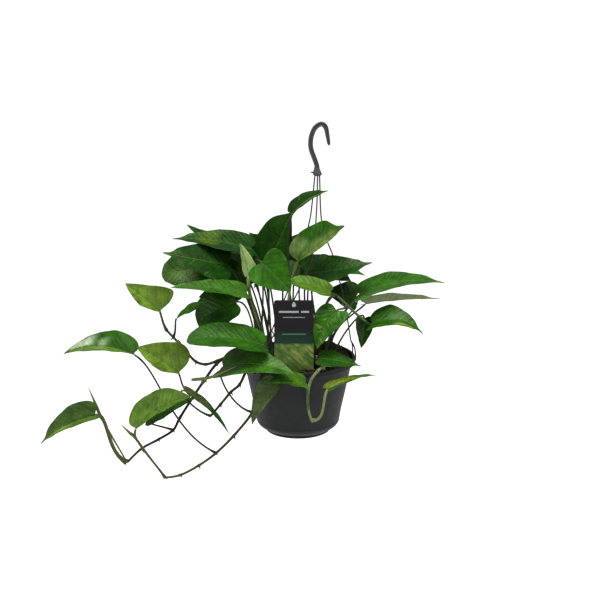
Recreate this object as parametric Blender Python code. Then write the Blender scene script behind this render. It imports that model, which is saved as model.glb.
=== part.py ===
"""Pothos (Epipremnum aureum) in a 15 cm hanging pot.

A thin-walled pot on a snap-on saucer hangs from a plastic hook by three
strands that clip over its rim.  A care label stands in the soil, leaves rise
from the crown on their own petioles, and vines trail over the rim.

Every position below is in millimetres from the centre of the pot's underside,
with X to the right, Y to the back and Z up.  The finished objects are moved so
that the point where the hook bears on its rail is the origin, in metres.
"""
from math import cos, pi, radians, sin, sqrt

import bmesh
import bpy
import numpy as np

MM = 0.001
GAP = 0.3                 # air left between neighbouring solids
SEGMENTS = 40             # facets round a turned piece

# Pot: a turned thin wall, a rolled rim, a rounded heel
POT_RIM_R = 75.0
POT_HEIGHT = 100.0
POT_WALL = 1.8
RIM_DEPTH = 7.0
RIM_LIP = 4.5             # how far the rim stands out from the wall
HEEL_SPREAD = 13.5        # how far the rounded heel swells out from the foot
HEEL_RISE = 12.0
FLARE = [(0.16, 0.19), (0.45, 0.46)]           # wall: shares of its spread and of its rise
DRAIN_HOLES = 4
DRAIN_R = 4.0
DRAIN_RING_R = 20.0

# Saucer that snaps under the heel
SAUCER_R = 43.0
SAUCER_H = 4.4
SAUCER_FLOOR = 1.4
SAUCER_WALL = 1.2
FOOT_R = SAUCER_R - SAUCER_WALL - GAP          # pot's foot, inside the saucer

# Soil
SOIL_DROP = 3.0           # below the rim, at the wall
SOIL_LEVEL = POT_HEIGHT - SOIL_DROP
SOIL_MOUND = 14.0         # extra height at the crest, behind and to the right
MOUND_AT = (48.0, 28.0)
MOUND_SPREAD = 30.0

# Hook and strands
HOOK_W = 6.2
HOOK_T = 5.0
COLLAR_R = 5.4
COLLAR_H = 11.0
STRAND_R = 0.9
CLIP_RISE = 16.0          # height of a clip's fork above the rim
CLIP_HALF_ANGLE = 6.0     # each leg of a fork, degrees round the rim

# Care label: heights from the soil's level
LABEL_W = 50.0
LABEL_T = 0.8
LABEL_TOP = 96.0
LABEL_FOOT = 2.8          # lower edge of the card
LABEL_CORNER = 3.0
STAKE_W = 16.0
STAKE_END = -35.0
STAKE_POINT = 7.0         # length of the pointed end
LABEL_AT = (-5.0, -58.0)
LABEL_LEAN = 3.0          # degrees, top towards the front

# Plant
STEM_R = 2.1
PETIOLE_R = 1.15
PETIOLE_FOOT = 1.25       # how much thicker a petiole is at its foot
SPEAR_R = 2.0             # thickest part of a rolled new leaf
SPEAR_SHAPE = [0.6, 0.6, 0.65, 0.8, 1.0, 1.0, 0.85, 0.62, 0.36, 0.10]       # from foot to tip
BLADE_T = 1.2             # thickness along the midrib

# The tables below are drawn round a pot of this rim and height.  On another
# pot everything keeps its place against the rim, as fitted() says.
DRAWN_RIM_R = 75.0
DRAWN_HEIGHT = 100.0
LIFT = POT_HEIGHT - DRAWN_HEIGHT
SPREAD = POT_RIM_R - DRAWN_RIM_R

# Centre line of the hook, from its collar up and over to the free tip
HOOK_PATH = [
    (25, 0, 345), (24, 0, 353), (21, 0, 362), (17, 0, 373), (16, 0, 382),
    (17.5, 0, 392), (22, 0, 401.5), (29.5, 0, 406), (35, 0, 402), (37.5, 0, 391),
    (39.5, 0, 379),
]
HOOK_EYE = (29.5, 0.0, 406.0 - HOOK_W / 2 + LIFT)        # where the rail carries the hook
COLLAR_AT = (25.0, 0.0, 340.0 + LIFT)

# Strands: angle of the clip round the rim, then the bowed way down to it
STRANDS = {
    "strand_right": (12.0, [(27.5, 0.5), (30, 2, 284), (38, 5, 253), (46, 8, 231), (60, 12, 174)]),
    "strand_back": (120.0, [(21.8, 1.5), (17, 6, 292), (13, 12, 270), (4, 27, 225), (-18, 47, 165)]),
    "strand_left": (228.0, [(25, -2.8), (24, -6, 300), (20.5, -11, 255), (13, -20, 222),
                            (-16, -36, 165)]),
}

# Vines and stems: way points of each centre line.  The first point of a stem
# that grows from the soil is given without a height.
STEMS = {
    "vine_long": [(-35, -56), (-37, -64, 108), (-41, -73, 107), (-47, -79, 93), (-52, -79, 71),
                  (-58, -75, 48), (-82, -73, 16), (-105, -75, -7), (-127, -80, -22),
                  (-150, -85, -33), (-170, -88, -36)],
    "vine_mid": [(-50, -20), (-68, -28, 110), (-86, -36, 112), (-104, -42, 103),
                 (-120, -45, 82), (-134, -50, 62), (-152, -55, 34), (-161, -58, 18),
                 (-180, -60, 6), (-202, -62, -6), (-221, -64, -24)],
    "vine_short": [(-46, -32), (-58, -42, 109), (-67, -50, 94), (-75, -53, 78),
                   (-86, -56, 69), (-99, -60, 54), (-112, -63, 39)],
    "vine_high": [(-60, 8), (-70, -8, 112), (-82, -26, 112), (-104, -34, 104),
                  (-119, -36, 100), (-131, -38, 104), (-141, -38, 114), (-152, -38, 128),
                  (-160, -38, 137), (-169, -38, 147)],
    "vine_front": [(33, -52), (32, -72, 108), (25, -81, 105), (17, -84, 95), (13, -85, 80),
                   (13, -84, 58), (17, -82, 40)],
    "stem_crown": [(-12, 10), (-13, 9, 130), (-12, 6, 160), (-11, 4, 190), (-13, 3, 212)],
    "stem_arch": [(18, -2), (24, -12, 135), (32, -26, 166), (40, -36, 187), (49, -40, 192),
                  (62, -38, 180), (78, -34, 164), (88, -32, 155)],
}

# Leaves: base of the blade, its tip, full width, the way its upper side faces,
# half fold angle in degrees, arch and swing as parts of the length, and the
# root of the petiole: a place on the soil, or a stem and one of its way points.
LEAVES = {
    # crown
    "leaf_crown_1": ((-8, -4, 291), (39, -18, 324), 29, (-0.3, -0.5, 0.8), 24, 0.07, 0.04,
                     ("stem_crown", 4)),
    "leaf_crown_2": ((-37, 14, 226), (-9, 7, 290), 50, (0.1, -0.95, 0.2), 12, 0.04, 0.0,
                     ("stem_crown", 3)),
    "leaf_crown_3": ((0, -22, 233), (59, -32, 281), 40, (0.1, -0.75, 0.65), 12, 0.04, 0.0,
                     (-20, -30)),
    "leaf_crown_4": ((8, 2, 212), (95, -20, 231), 54, (0, -0.6, 0.8), 10, 0.02, -0.05,
                     (10, -14)),
    "leaf_crown_5": ((29, 32, 206), (88, 24, 204), 34, (0, -0.3, 0.95), 14, 0.06, 0.0,
                     (22, 22)),
    "leaf_crown_6": ((-46, -46, 238), (-9, -51, 201), 54, (0.1, -0.9, 0.4), 8, 0.05, 0.0,
                     (-34, -24)),
    "leaf_crown_7": ((-62, -40, 219), (-73, -49, 263), 24, (0.5, 0.8, 0.3), 18, 0.05, 0.0,
                     (-36, -36)),
    "leaf_crown_8": ((-44, 20, 231), (-63, 18, 262), 30, (0.3, -0.85, 0.4), 10, 0.06, 0.0,
                     (-26, 22)),
    "leaf_crown_9": ((-16, 32, 212), (-27, 28, 258), 34, (0.2, -0.9, 0.3), 10, 0.06, 0.0,
                     (-2, 26)),
    "leaf_crown_10": ((-64, 31, 192), (-99, 29, 219), 40, (0.2, -0.7, 0.6), 12, 0.08, 0.0,
                      (-42, 22)),
    # right side
    "leaf_right_1": ((80, -10, 186), (189, -20, 204), 50, (0, -0.28, 0.96), 12, 0.08, 0.03,
                     (36, 2)),
    "leaf_right_2": ((88, 0, 171), (186, 6, 176), 30, (0.0, 0.6, 0.8), 20, 0.03, 0.0,
                     (40, 16)),
    "leaf_right_3": ((95, -30, 152), (160, -45, 143), 44, (0.1, -0.5, 0.87), 22, 0.14, 0.10,
                     ("stem_arch", 7)),
    "leaf_right_4": ((86, -10, 155), (82, -20, 117), 26, (0.3, -0.9, 0.2), 12, 0.05, 0.0,
                     (46, -10)),
    "leaf_right_5": ((76, 36, 168), (36, 34, 178), 44, (0.1, -0.7, 0.7), 12, 0.08, 0.0,
                     (44, 36)),
    # front
    "leaf_front_1": ((41, -46, 199), (-13, -42, 213), 34, (0, -0.4, 0.9), 12, 0.04, 0.0,
                     ("stem_arch", 4)),
    "leaf_front_2": ((50, -50, 176), (24, -68, 130), 40, (-0.2, -0.85, 0.5), 16, 0.08, -0.06,
                     ("stem_arch", 5)),
    "leaf_front_3": ((28, -64, 117), (80, -76, 110), 34, (0.05, -0.35, 0.93), 4, 0.03, 0.0,
                     (20, -42)),
    "leaf_front_4": ((38, -90, 84), (103, -66, 95), 32, (-0.2, -0.2, 0.97), 16, 0.07, 0.0,
                     ("vine_front", 6)),
    "leaf_front_5": ((9, -94, 93), (-38, -106, 98), 34, (0.1, -0.3, 0.95), 10, 0.10, 0.0,
                     ("vine_front", 5)),
    "leaf_front_6": ((-26, -92, 92), (-58, -90, 37), 34, (-0.5, -0.8, 0.35), 20, 0.08, 0.0,
                     ("vine_long", 3)),
    "leaf_front_7": ((-96, -66, 105), (-3, -107, 108), 58, (0.1, -0.5, 0.85), 12, 0.12, 0.0,
                     ("vine_long", 5)),
    # left side
    "leaf_left_1": ((-60, -11, 247), (-160, -20, 262), 50, (0, -0.38, 0.92), 12, 0.05, 0.0,
                    (-48, -2)),
    "leaf_left_2": ((-98, 30, 240), (-145, 30, 270), 24, (0, -0.5, 0.85), 10, -0.04, 0.0,
                    (-46, 30)),
    "leaf_left_3": ((-91, -24, 229), (-170, -46, 250), 56, (0.1, -0.7, 0.7), 12, 0.06, 0.04,
                    (-45, -14)),
    "leaf_left_4": ((-66, -60, 201), (-159, -74, 212), 36, (0, -0.35, 0.94), 12, 0.05, 0.0,
                    (-42, -42)),
    "leaf_left_5": ((-43, -76, 138), (-139, -88, 148), 50, (0, -0.4, 0.9), 12, 0.08, 0.0,
                    (-33, -45)),
    "leaf_left_6": ((-80, -12, 177), (-131, -10, 148), 56, (-0.3, -0.7, 0.65), 10, 0.08, 0.0,
                    (-53, -8)),
    "leaf_left_7": ((-78, 16, 184), (-130, 14, 176), 46, (-0.1, -0.5, 0.85), 10, 0.06, 0.0,
                    (-50, 22)),
    "leaf_left_8": ((-155, -42, 163), (-114, -44, 186), 14, (-0.4, -0.6, 0.7), 14, 0.08, 0.0,
                    ("vine_high", 8)),
    "leaf_left_9": ((-176, -42, 172), (-218, -50, 211), 46, (0.3, -0.75, 0.6), 14, 0.05, 0.0,
                    ("vine_high", 9)),
    "leaf_left_10": ((-80, 8, 213), (-176, -6, 212), 58, (0, -0.75, 0.65), 10, 0.10, 0.0,
                     (-54, 16)),
    # vines
    "leaf_vine_1": ((-152, -62, 96), (-203, -77, 135), 49, (0.3, -0.70, 0.62), 18, 0.05, -0.02,
                    ("vine_mid", 5)),
    "leaf_vine_2": ((-144, -78, 78), (-86, -94, 24), 17, (0.6, -0.3, 0.7), 30, 0.04, 0.04,
                    ("vine_short", 6)),
    "leaf_vine_3": ((-206, -82, 127), (-293, -92, 132), 46, (0, -0.57, 0.82), 28, 0.18, 0.0,
                    ("vine_long", 7)),
    "leaf_vine_4": ((-205, -94, 32), (-135, -90, 74), 44, (-0.29, -0.67, 0.69), 26, 0.06, 0.08,
                    ("vine_long", 10)),
    "leaf_vine_5": ((-194, -64, 36), (-132, -53, 60), 36, (-0.2, -0.5, 0.85), 10, 0.06, 0.0,
                    ("vine_mid", 7)),
    "leaf_vine_6": ((-260, -60, 39), (-332, -62, 0), 42, (-0.31, -0.63, 0.72), 26, 0.12, 0.0,
                    ("vine_mid", 10)),
    # back
    "leaf_back_1": ((-20, 60, 190), (-60, 98, 168), 48, (-0.3, 0.5, 0.8), 12, 0.10, 0.0,
                    (-14, 44)),
    "leaf_back_2": ((22, 60, 196), (60, 94, 178), 44, (0.3, 0.5, 0.8), 12, 0.10, 0.0,
                    (14, 46)),
    "leaf_back_3": ((-72, 58, 212), (-124, 82, 216), 46, (-0.2, 0.4, 0.9), 12, 0.08, 0.0,
                    (-36, 44)),
}

# Rolled new leaves: the root (a stem and way point, or a place beside the last
# petiole), two points on the way, and the tip
SPEARS = {
    "new_leaf_mid": (("vine_mid", 4), (-134, -70, 90), (-110, -94, 101), (-77, -103, 118)),
    "new_leaf_long": ((-198, -86, 6), (-205, -87, 15), (-214, -89, 26), (-225, -91, 38)),
    "new_leaf_tip": ((-246, -47, 12), (-252, -48, 26), (-261, -49, 50), (-270, -52, 76)),
}

# Half outlines of a blade: place of a cross-section on the midrib, place of its
# edge, and half width, as parts of the length and of the half width.
OUTLINES = {
    "heart": [(0.00, 0.00, 0.07), (0.06, -0.07, 0.55), (0.18, 0.00, 0.92), (0.38, 0.23, 1.00),
              (0.60, 0.50, 0.76), (0.82, 0.79, 0.38), (1.00, 1.00, 0.02)],
    "straight": [(0.00, 0.00, 0.07), (0.06, -0.06, 0.62), (0.18, 0.03, 1.00), (0.38, 0.27, 0.86),
                 (0.60, 0.52, 0.57), (0.82, 0.79, 0.27), (1.00, 1.00, 0.02)],
    "full": [(0.00, 0.00, 0.07), (0.06, -0.05, 0.50), (0.18, 0.03, 0.84), (0.38, 0.25, 1.00),
             (0.60, 0.52, 0.97), (0.82, 0.80, 0.74), (1.00, 1.00, 0.05)],
    "blunt": [(0.00, 0.00, 0.07), (0.06, -0.05, 0.50), (0.18, 0.03, 0.84), (0.38, 0.25, 1.00),
              (0.60, 0.55, 0.99), (0.82, 0.80, 0.84), (1.00, 0.96, 0.45)],
    "taper": [(0.00, 0.00, 0.07), (0.06, 0.05, 0.18), (0.18, 0.15, 0.45), (0.38, 0.33, 0.82),
              (0.60, 0.56, 1.00), (0.82, 0.80, 0.62), (1.00, 1.00, 0.04)],
}

# Leaves with unlike sides: half width and outline to the right and to the left
# of the midrib, seen from above with the tip ahead.
SIDES = {
    "leaf_left_9": (32, "straight", 14, "taper"),
    "leaf_vine_1": (33, "heart", 18, "taper"),
    "leaf_vine_3": (23, "heart", 15, "taper"),
    "leaf_left_5": (25, "blunt", 25, "blunt"),
    "leaf_left_10": (29, "blunt", 29, "blunt"),
    "leaf_front_1": (15, "full", 16, "full"),
    "leaf_left_8": (7, "taper", 7, "taper"),
    "leaf_left_6": (28, "blunt", 28, "blunt"),
    "leaf_vine_4": (12, "taper", 23, "full"),
    "leaf_vine_6": (23, "heart", 12, "heart"),
    "leaf_crown_3": (6, "taper", 27, "full"),
    "leaf_front_4": (11, "straight", 11, "straight"),
    "leaf_front_6": (19, "heart", 9, "heart"),
    "leaf_crown_2": (22, "heart", 29, "full"),
}


def clear_scene():
    for item in list(bpy.data.objects):
        bpy.data.objects.remove(item, do_unlink=True)


def unit(vector):
    vector = np.asarray(vector, dtype=float)
    return vector / max(np.linalg.norm(vector), 1e-9)


def fitted(point):
    """A table point moved with the rim: up with its height, outwards with its radius."""
    x, y = point[:2]
    grow = 1.0 + SPREAD / max(sqrt(x * x + y * y), DRAWN_RIM_R)
    if len(point) == 2:
        return (x * grow, y * grow)
    return (x * grow, y * grow, point[2] + LIFT)


# ---------------------------------------------------------------- materials

def make_material(name, color, roughness, coat=0.0):
    material = bpy.data.materials.new(name)
    material.use_nodes = True
    shader = material.node_tree.nodes["Principled BSDF"]
    shader.inputs["Base Color"].default_value = (*color, 1.0)
    shader.inputs["Roughness"].default_value = roughness
    shader.inputs["Coat Weight"].default_value = coat
    return material


def make_materials():
    return {
        "pot": make_material("pot_plastic", (0.034, 0.037, 0.043), 0.55),
        "saucer": make_material("saucer_plastic", (0.030, 0.033, 0.038), 0.55),
        "soil": make_material("potting_soil", (0.022, 0.015, 0.010), 0.95),
        "hook": make_material("hook_plastic", (0.13, 0.13, 0.13), 0.45),
        "strand": make_material("strand_plastic", (0.045, 0.030, 0.036), 0.45),
        "label": make_material("label_card", (0.020, 0.021, 0.026), 0.40),
        "stem": make_material("vine_skin", (0.060, 0.095, 0.022), 0.50),
        "leaf": make_material("leaf_green", (0.050, 0.150, 0.022), 0.38, 0.1),
        "new": make_material("new_leaf_green", (0.190, 0.330, 0.060), 0.42, 0.1),
    }


# ------------------------------------------------------------- mesh helpers

def place(points):
    """Design millimetres to metres from the hook's bearing point."""
    return (np.asarray(points, dtype=float) - np.array(HOOK_EYE)) * MM


def add_object(name, points, faces, material):
    mesh = bpy.data.meshes.new(name)
    mesh.from_pydata([tuple(p) for p in place(points)], [], faces)
    shape = bmesh.new()
    shape.from_mesh(mesh)
    bmesh.ops.recalc_face_normals(shape, faces=shape.faces[:])
    shape.to_mesh(mesh)
    shape.free()
    mesh.materials.append(material)
    item = bpy.data.objects.new(name, mesh)
    bpy.context.scene.collection.objects.link(item)
    return item


def loft(rings):
    """Closed skin through rings of equal count, with flat end caps."""
    count = len(rings[0])
    points = [p for ring in rings for p in ring]
    faces = []
    for r in range(len(rings) - 1):
        for k in range(count):
            a = r * count + k
            b = r * count + (k + 1) % count
            faces.append((a, b, b + count, a + count))
    faces.append(tuple(range(count)))
    last = (len(rings) - 1) * count
    faces.append(tuple(last + k for k in reversed(range(count))))
    return points, faces


def turn(profile, segments):
    """Solid of revolution round Z; the profile starts and ends on the axis."""
    points = [(0.0, 0.0, profile[0][1])]
    for radius, height in profile[1:-1]:
        for k in range(segments):
            angle = 2 * pi * k / segments
            points.append((radius * cos(angle), radius * sin(angle), height))
    points.append((0.0, 0.0, profile[-1][1]))
    faces = []
    rows = len(profile) - 2
    for k in range(segments):
        n = (k + 1) % segments
        faces.append((0, 1 + n, 1 + k))
        faces.append((len(points) - 1, 1 + (rows - 1) * segments + k,
                      1 + (rows - 1) * segments + n))
        for r in range(rows - 1):
            a = 1 + r * segments
            faces.append((a + k, a + n, a + n + segments, a + k + segments))
    return points, faces


def smooth_path(points, steps):
    """Catmull-Rom curve through the points."""
    p = np.asarray(points, dtype=float)
    p = np.vstack([2 * p[0] - p[1], p, 2 * p[-1] - p[-2]])
    out = []
    for i in range(1, len(p) - 2):
        for j in range(steps):
            t = j / steps
            out.append(0.5 * (2 * p[i] + (p[i + 1] - p[i - 1]) * t
                              + (2 * p[i - 1] - 5 * p[i] + 4 * p[i + 1] - p[i + 2]) * t ** 2
                              + (3 * p[i] - p[i - 1] - 3 * p[i + 1] + p[i + 2]) * t ** 3))
    out.append(p[-2])
    return np.array(out)


def frames_along(path, first_side):
    """Tangent, side and normal at each point, carried along without twist."""
    tangents = [unit(path[min(i + 1, len(path) - 1)] - path[max(i - 1, 0)])
                for i in range(len(path))]
    side = np.asarray(first_side, dtype=float)
    frames = []
    for tangent in tangents:
        side = unit(side - tangent * np.dot(side, tangent))
        frames.append((tangent, side, np.cross(tangent, side)))
    return frames


def tube_rings(path, radii, sides, first_side=(0.31, 0.83, 0.47)):
    rings = []
    for point, radius, frame in zip(path, radii, frames_along(path, first_side)):
        ring = []
        for k in range(sides):
            angle = 2 * pi * k / sides
            ring.append(point + radius * (cos(angle) * frame[1] + sin(angle) * frame[2]))
        rings.append(ring)
    return rings


def join_solids(keep, other):
    """Fuse two overlapping closed objects into the first."""
    union = keep.modifiers.new("fuse_" + other.name, "BOOLEAN")
    union.operation = "UNION"
    union.solver = "EXACT"
    union.object = other
    other.hide_render = True
    other.display_type = "WIRE"


def cut_solid(keep, cutter):
    cut = keep.modifiers.new("cut_" + cutter.name, "BOOLEAN")
    cut.operation = "DIFFERENCE"
    cut.solver = "EXACT"
    cut.object = cutter
    cutter.hide_render = True
    cutter.display_type = "WIRE"


# -------------------------------------------------------------- pot and soil

def heel_line(step):
    """Foot and rounded heel from the underside up to the wall, moved in by step."""
    foot = SAUCER_FLOOR + GAP + step
    heel = SAUCER_H + GAP + step
    line = [(FOOT_R - step, foot), (FOOT_R - step, heel)]
    for degrees in (30, 52, 72, 90):
        angle = radians(degrees)
        line.append((FOOT_R - step + HEEL_SPREAD * sin(angle),
                     heel + HEEL_RISE * (1 - cos(angle))))
    return line


def wall_line():
    """Outer face of the wall above the heel, flaring faster near its foot."""
    low_r, low_z = heel_line(0)[-1]
    high_r = POT_RIM_R - RIM_LIP
    high_z = POT_HEIGHT - RIM_DEPTH
    line = [(low_r + (high_r - low_r) * out, low_z + (high_z - low_z) * up) for out, up in FLARE]
    return line + [(high_r, high_z)]


def inner_line(inset):
    """Inside of the pot set in by the wall and any further gap."""
    step = POT_WALL + inset
    line = [(0.0, heel_line(step)[0][1])]
    line += heel_line(step)
    line += [(r - step, z) for r, z in wall_line()[:-1]]
    line.append((POT_RIM_R - RIM_LIP - step, POT_HEIGHT - RIM_DEPTH))
    return line


def make_pot(materials):
    profile = [(0.0, heel_line(0)[0][1])] + heel_line(0) + wall_line()
    profile += [
        (POT_RIM_R, POT_HEIGHT - RIM_DEPTH),
        (POT_RIM_R, POT_HEIGHT - 1.2),
        (POT_RIM_R - 1.2, POT_HEIGHT),
        (POT_RIM_R - 2.6, POT_HEIGHT),
        (POT_RIM_R - 3.8, POT_HEIGHT - 1.4),
    ]
    profile += list(reversed(inner_line(0)))
    pot = add_object("pot", *turn(profile, SEGMENTS), materials["pot"])
    floor = heel_line(POT_WALL)[0][1]
    for k in range(DRAIN_HOLES):
        angle = 2 * pi * (k + 0.5) / DRAIN_HOLES
        x = DRAIN_RING_R * cos(angle)
        y = DRAIN_RING_R * sin(angle)
        path = np.array([(x, y, floor - 6.0), (x, y, floor + 4.0)])
        drill = add_object("drain_cutter_%d" % k, *loft(tube_rings(path, [DRAIN_R] * 2, 12)),
                           materials["pot"])
        cut_solid(pot, drill)
    return pot


def make_saucer(materials):
    top = SAUCER_H
    inside = SAUCER_R - SAUCER_WALL
    profile = [
        (0.0, 0.0), (SAUCER_R - 1.4, 0.0), (SAUCER_R, 1.0), (SAUCER_R, top),
        (inside, top), (inside, SAUCER_FLOOR), (0.0, SAUCER_FLOOR),
    ]
    return add_object("drip_saucer", *turn(profile, SEGMENTS), materials["saucer"])


def soil_height(x, y):
    """Top of the soil: level at the wall, mounded behind and to the right."""
    edge = POT_RIM_R - RIM_LIP - POT_WALL
    reach = min(1.0, sqrt(x * x + y * y) / edge)
    crest = fitted(MOUND_AT)
    away = (x - crest[0]) ** 2 + (y - crest[1]) ** 2
    mound = SOIL_MOUND * np.exp(-away / (2 * MOUND_SPREAD ** 2))
    crumb = 0.5 * sin(0.31 * x + 1.0) * cos(0.27 * y)
    return SOIL_LEVEL + (mound + 1.5 + crumb) * (1 - reach ** 8)


def make_soil(materials):
    segments = SEGMENTS
    line = inner_line(GAP)
    line = [p for p in line if p[1] < SOIL_LEVEL - 6.0]
    edge = POT_RIM_R - RIM_LIP - POT_WALL - GAP
    wall = line + [(edge, POT_HEIGHT - RIM_DEPTH), (edge, SOIL_LEVEL - 0.6)]
    points, faces = turn(wall + [(0.0, SOIL_LEVEL)], segments)
    points.pop()
    faces = [f for f in faces if len(points) not in f]
    start = len(points) - segments
    for radius in (0.94, 0.80, 0.62, 0.42, 0.20):
        row = len(points)
        for k in range(segments):
            angle = 2 * pi * k / segments
            x = edge * radius * cos(angle)
            y = edge * radius * sin(angle)
            points.append((x, y, soil_height(x, y)))
        for k in range(segments):
            n = (k + 1) % segments
            faces.append((start + k, start + n, row + n, row + k))
        start = row
    faces.append(tuple(start + k for k in range(segments)))
    soil = add_object("soil", points, faces, materials["soil"])
    slot = label_prism("label_slot", GAP, LABEL_TOP, materials["soil"])
    cut_solid(soil, slot)
    return soil


# ------------------------------------------------------------- hook, strands

def make_hook(materials):
    path = smooth_path([(x, y, z + LIFT) for x, y, z in HOOK_PATH], 2)
    rings = []
    last = len(path) - 1
    for i, (point, frame) in enumerate(zip(path, frames_along(path, (1, 0, 0)))):
        slim = 1.0 - 0.35 * max(0.0, (i - last + 4) / 4.0)
        half = HOOK_W / 2 * slim
        deep = HOOK_T / 2 * slim
        ring = []
        for a, b in ((1, 0.5), (0.6, 1), (-0.6, 1), (-1, 0.5),
                     (-1, -0.5), (-0.6, -1), (0.6, -1), (1, -0.5)):
            ring.append(point + frame[1] * half * a + frame[2] * deep * b)
        rings.append(ring)
    hook = add_object("hook", *loft(rings), materials["hook"])
    x, y, z = COLLAR_AT
    levels = [(0.0, 0.80), (1.2, 1.0), (4.0, 1.0), (8.5, 0.72), (COLLAR_H, 0.60)]
    rings = []
    for height, size in levels:
        ring = []
        for k in range(12):
            angle = 2 * pi * k / 12
            ring.append((x - 0.1 * height + COLLAR_R * size * cos(angle),
                         y + COLLAR_R * size * sin(angle), z + height))
        rings.append(ring)
    collar = add_object("hook_collar", *loft(rings), materials["hook"])
    join_solids(hook, collar)
    nib_path = np.array([(x - 3.0, y, z + 4.6), (x - 6.5, y, z + 4.2), (x - 9.2, y, z + 4.8)])
    nib = add_object("hook_nib", *loft(tube_rings(nib_path, [1.5, 1.1, 0.5], 6)),
                     materials["hook"])
    join_solids(hook, nib)
    return hook


def rim_point(angle, radius, height):
    turned = radians(angle)
    return (radius * cos(turned), radius * sin(turned), height)


def strand_way(angle, way):
    """Way points of a strand, lifted with the pot and spread more the nearer they are to the rim."""
    top = (way[0][0], way[0][1], COLLAR_AT[2] - GAP)
    out = []
    for x, y, z in way[1:]:
        down = (COLLAR_AT[2] - LIFT - z) / (COLLAR_AT[2] - POT_HEIGHT)
        out.append((x + SPREAD * down * cos(radians(angle)),
                    y + SPREAD * down * sin(radians(angle)), z + LIFT))
    return [top] + out


def make_strand(name, angle, way, materials):
    """One strand and the two-legged clip that grips the rim."""
    out = POT_RIM_R + GAP + STRAND_R + 0.1
    under = POT_HEIGHT - RIM_DEPTH - GAP - STRAND_R - 0.1
    fork = rim_point(angle, POT_RIM_R - 3.5, POT_HEIGHT + CLIP_RISE - 0.6)
    path = smooth_path(strand_way(angle, way) + [fork], 3)
    strand = add_object(name, *loft(tube_rings(path, [STRAND_R] * len(path), 6)),
                        materials["strand"])
    legs = []
    for side in (1, -1):
        a = angle + side * CLIP_HALF_ANGLE
        legs.append([
            rim_point(a, out - 3.0, under),
            rim_point(a, out - 0.5, under),
            rim_point(a, out, under + 1.5),
            rim_point(a, out, POT_HEIGHT - 1.0),
            rim_point(angle + side * CLIP_HALF_ANGLE * 0.85, out - 0.8, POT_HEIGHT + 7.0),
            rim_point(angle + side * CLIP_HALF_ANGLE * 0.45, out - 2.6, POT_HEIGHT + 12.5),
        ])
    apex = rim_point(angle, POT_RIM_R - 3.5, POT_HEIGHT + CLIP_RISE)
    path = np.array(legs[0] + [apex] + list(reversed(legs[1])))
    clip = add_object(name + "_clip", *loft(tube_rings(path, [STRAND_R] * len(path), 6)),
                      materials["strand"])
    join_solids(strand, clip)
    return strand


# --------------------------------------------------------------------- label

def label_prism(name, grow, top, material):
    """The label's outline as a slab, or grown all round as the slot for it."""
    half = LABEL_W / 2
    stake = STAKE_W / 2 + grow
    tip = stake * 0.25
    point = STAKE_END + STAKE_POINT
    end = STAKE_END - grow
    if grow:
        outline = [(-stake, top), (-stake, point), (-tip, end), (tip, end), (stake, point),
                   (stake, top)]
    else:
        corner = LABEL_CORNER
        cut = corner * 0.3
        foot = LABEL_FOOT
        outline = [
            (-half + corner, top), (-half + cut, top - cut), (-half, top - corner),
            (-half, foot + corner), (-half + corner, foot), (-stake, foot), (-stake, point),
            (-tip, end), (tip, end), (stake, point), (stake, foot), (half - corner, foot),
            (half, foot + corner), (half, top - corner), (half - cut, top - cut),
            (half - corner, top),
        ]
    lean = radians(LABEL_LEAN)
    depth = LABEL_T / 2 + grow
    x, y = fitted(LABEL_AT)
    points = []
    for offset in (-depth, depth):
        for u, rise in outline:
            points.append((x + u, y + offset * cos(lean) - rise * sin(lean),
                           SOIL_LEVEL + offset * sin(lean) + rise * cos(lean)))
    count = len(outline)
    faces = [tuple(range(count)), tuple(reversed(range(count, 2 * count)))]
    for k in range(count):
        n = (k + 1) % count
        faces.append((k, n, n + count, k + count))
    return add_object(name, points, faces, material)


# --------------------------------------------------------------------- plant

def stem_way(name):
    """Way points of a stem; one that starts on the soil starts just above it."""
    way = [fitted(point) for point in STEMS[name]]
    x, y = way[0]
    start = (x, y, soil_height(x, y) + GAP + 1.2)
    return [np.array(p, dtype=float) for p in [start] + way[1:]]


def make_stem(name, materials):
    way = stem_way(name)
    steps = 2
    path = smooth_path(way, steps)
    radii = []
    for i in range(len(path)):
        taper = 1.0 - 0.22 * i / (len(path) - 1)
        node = 1.14 if i % steps == 0 else 1.0
        radii.append(STEM_R * taper * node)
    side = np.cross(path[1] - path[0], (0.2, 0.9, 0.1))
    rings = tube_rings(path, radii, 8, side)
    for p in rings[0]:
        p[2] = way[0][2]
    return add_object(name, *loft(rings), materials["stem"])


def petiole_root(root, aim, radius):
    """Where a petiole starts, just clear of the soil or of its stem."""
    if not isinstance(root[0], str):
        x, y = fitted(root)
        start = np.array([x, y, soil_height(x, y) + 2 * GAP])
        lean = unit(unit(aim - start) * 0.5 + np.array([0, 0, 1.0]))
        start[2] += PETIOLE_FOOT * radius * sqrt(lean[0] ** 2 + lean[1] ** 2)
        return start, lean
    way = stem_way(root[0])
    index = root[1]
    along = unit(way[min(index + 1, len(way) - 1)] - way[index - 1])
    toward = unit(aim - way[index])
    if index == len(way) - 1 and np.dot(along, toward) > 0.5:
        start = way[index] + along * (GAP + radius)
        return start, unit(along + toward)
    across = unit(toward - along * np.dot(toward, along))
    lean = unit(across + along * 0.4)
    slope = abs(np.dot(lean, along))
    start = way[index] + across * (STEM_R * 1.16 + GAP + radius * slope)
    return start, lean


def bezier(p0, p1, p2, p3, steps):
    out = []
    for i in range(steps + 1):
        t = i / steps
        out.append((1 - t) ** 3 * p0 + 3 * (1 - t) ** 2 * t * p1
                   + 3 * (1 - t) * t * t * p2 + t ** 3 * p3)
    return np.array(out)


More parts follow.
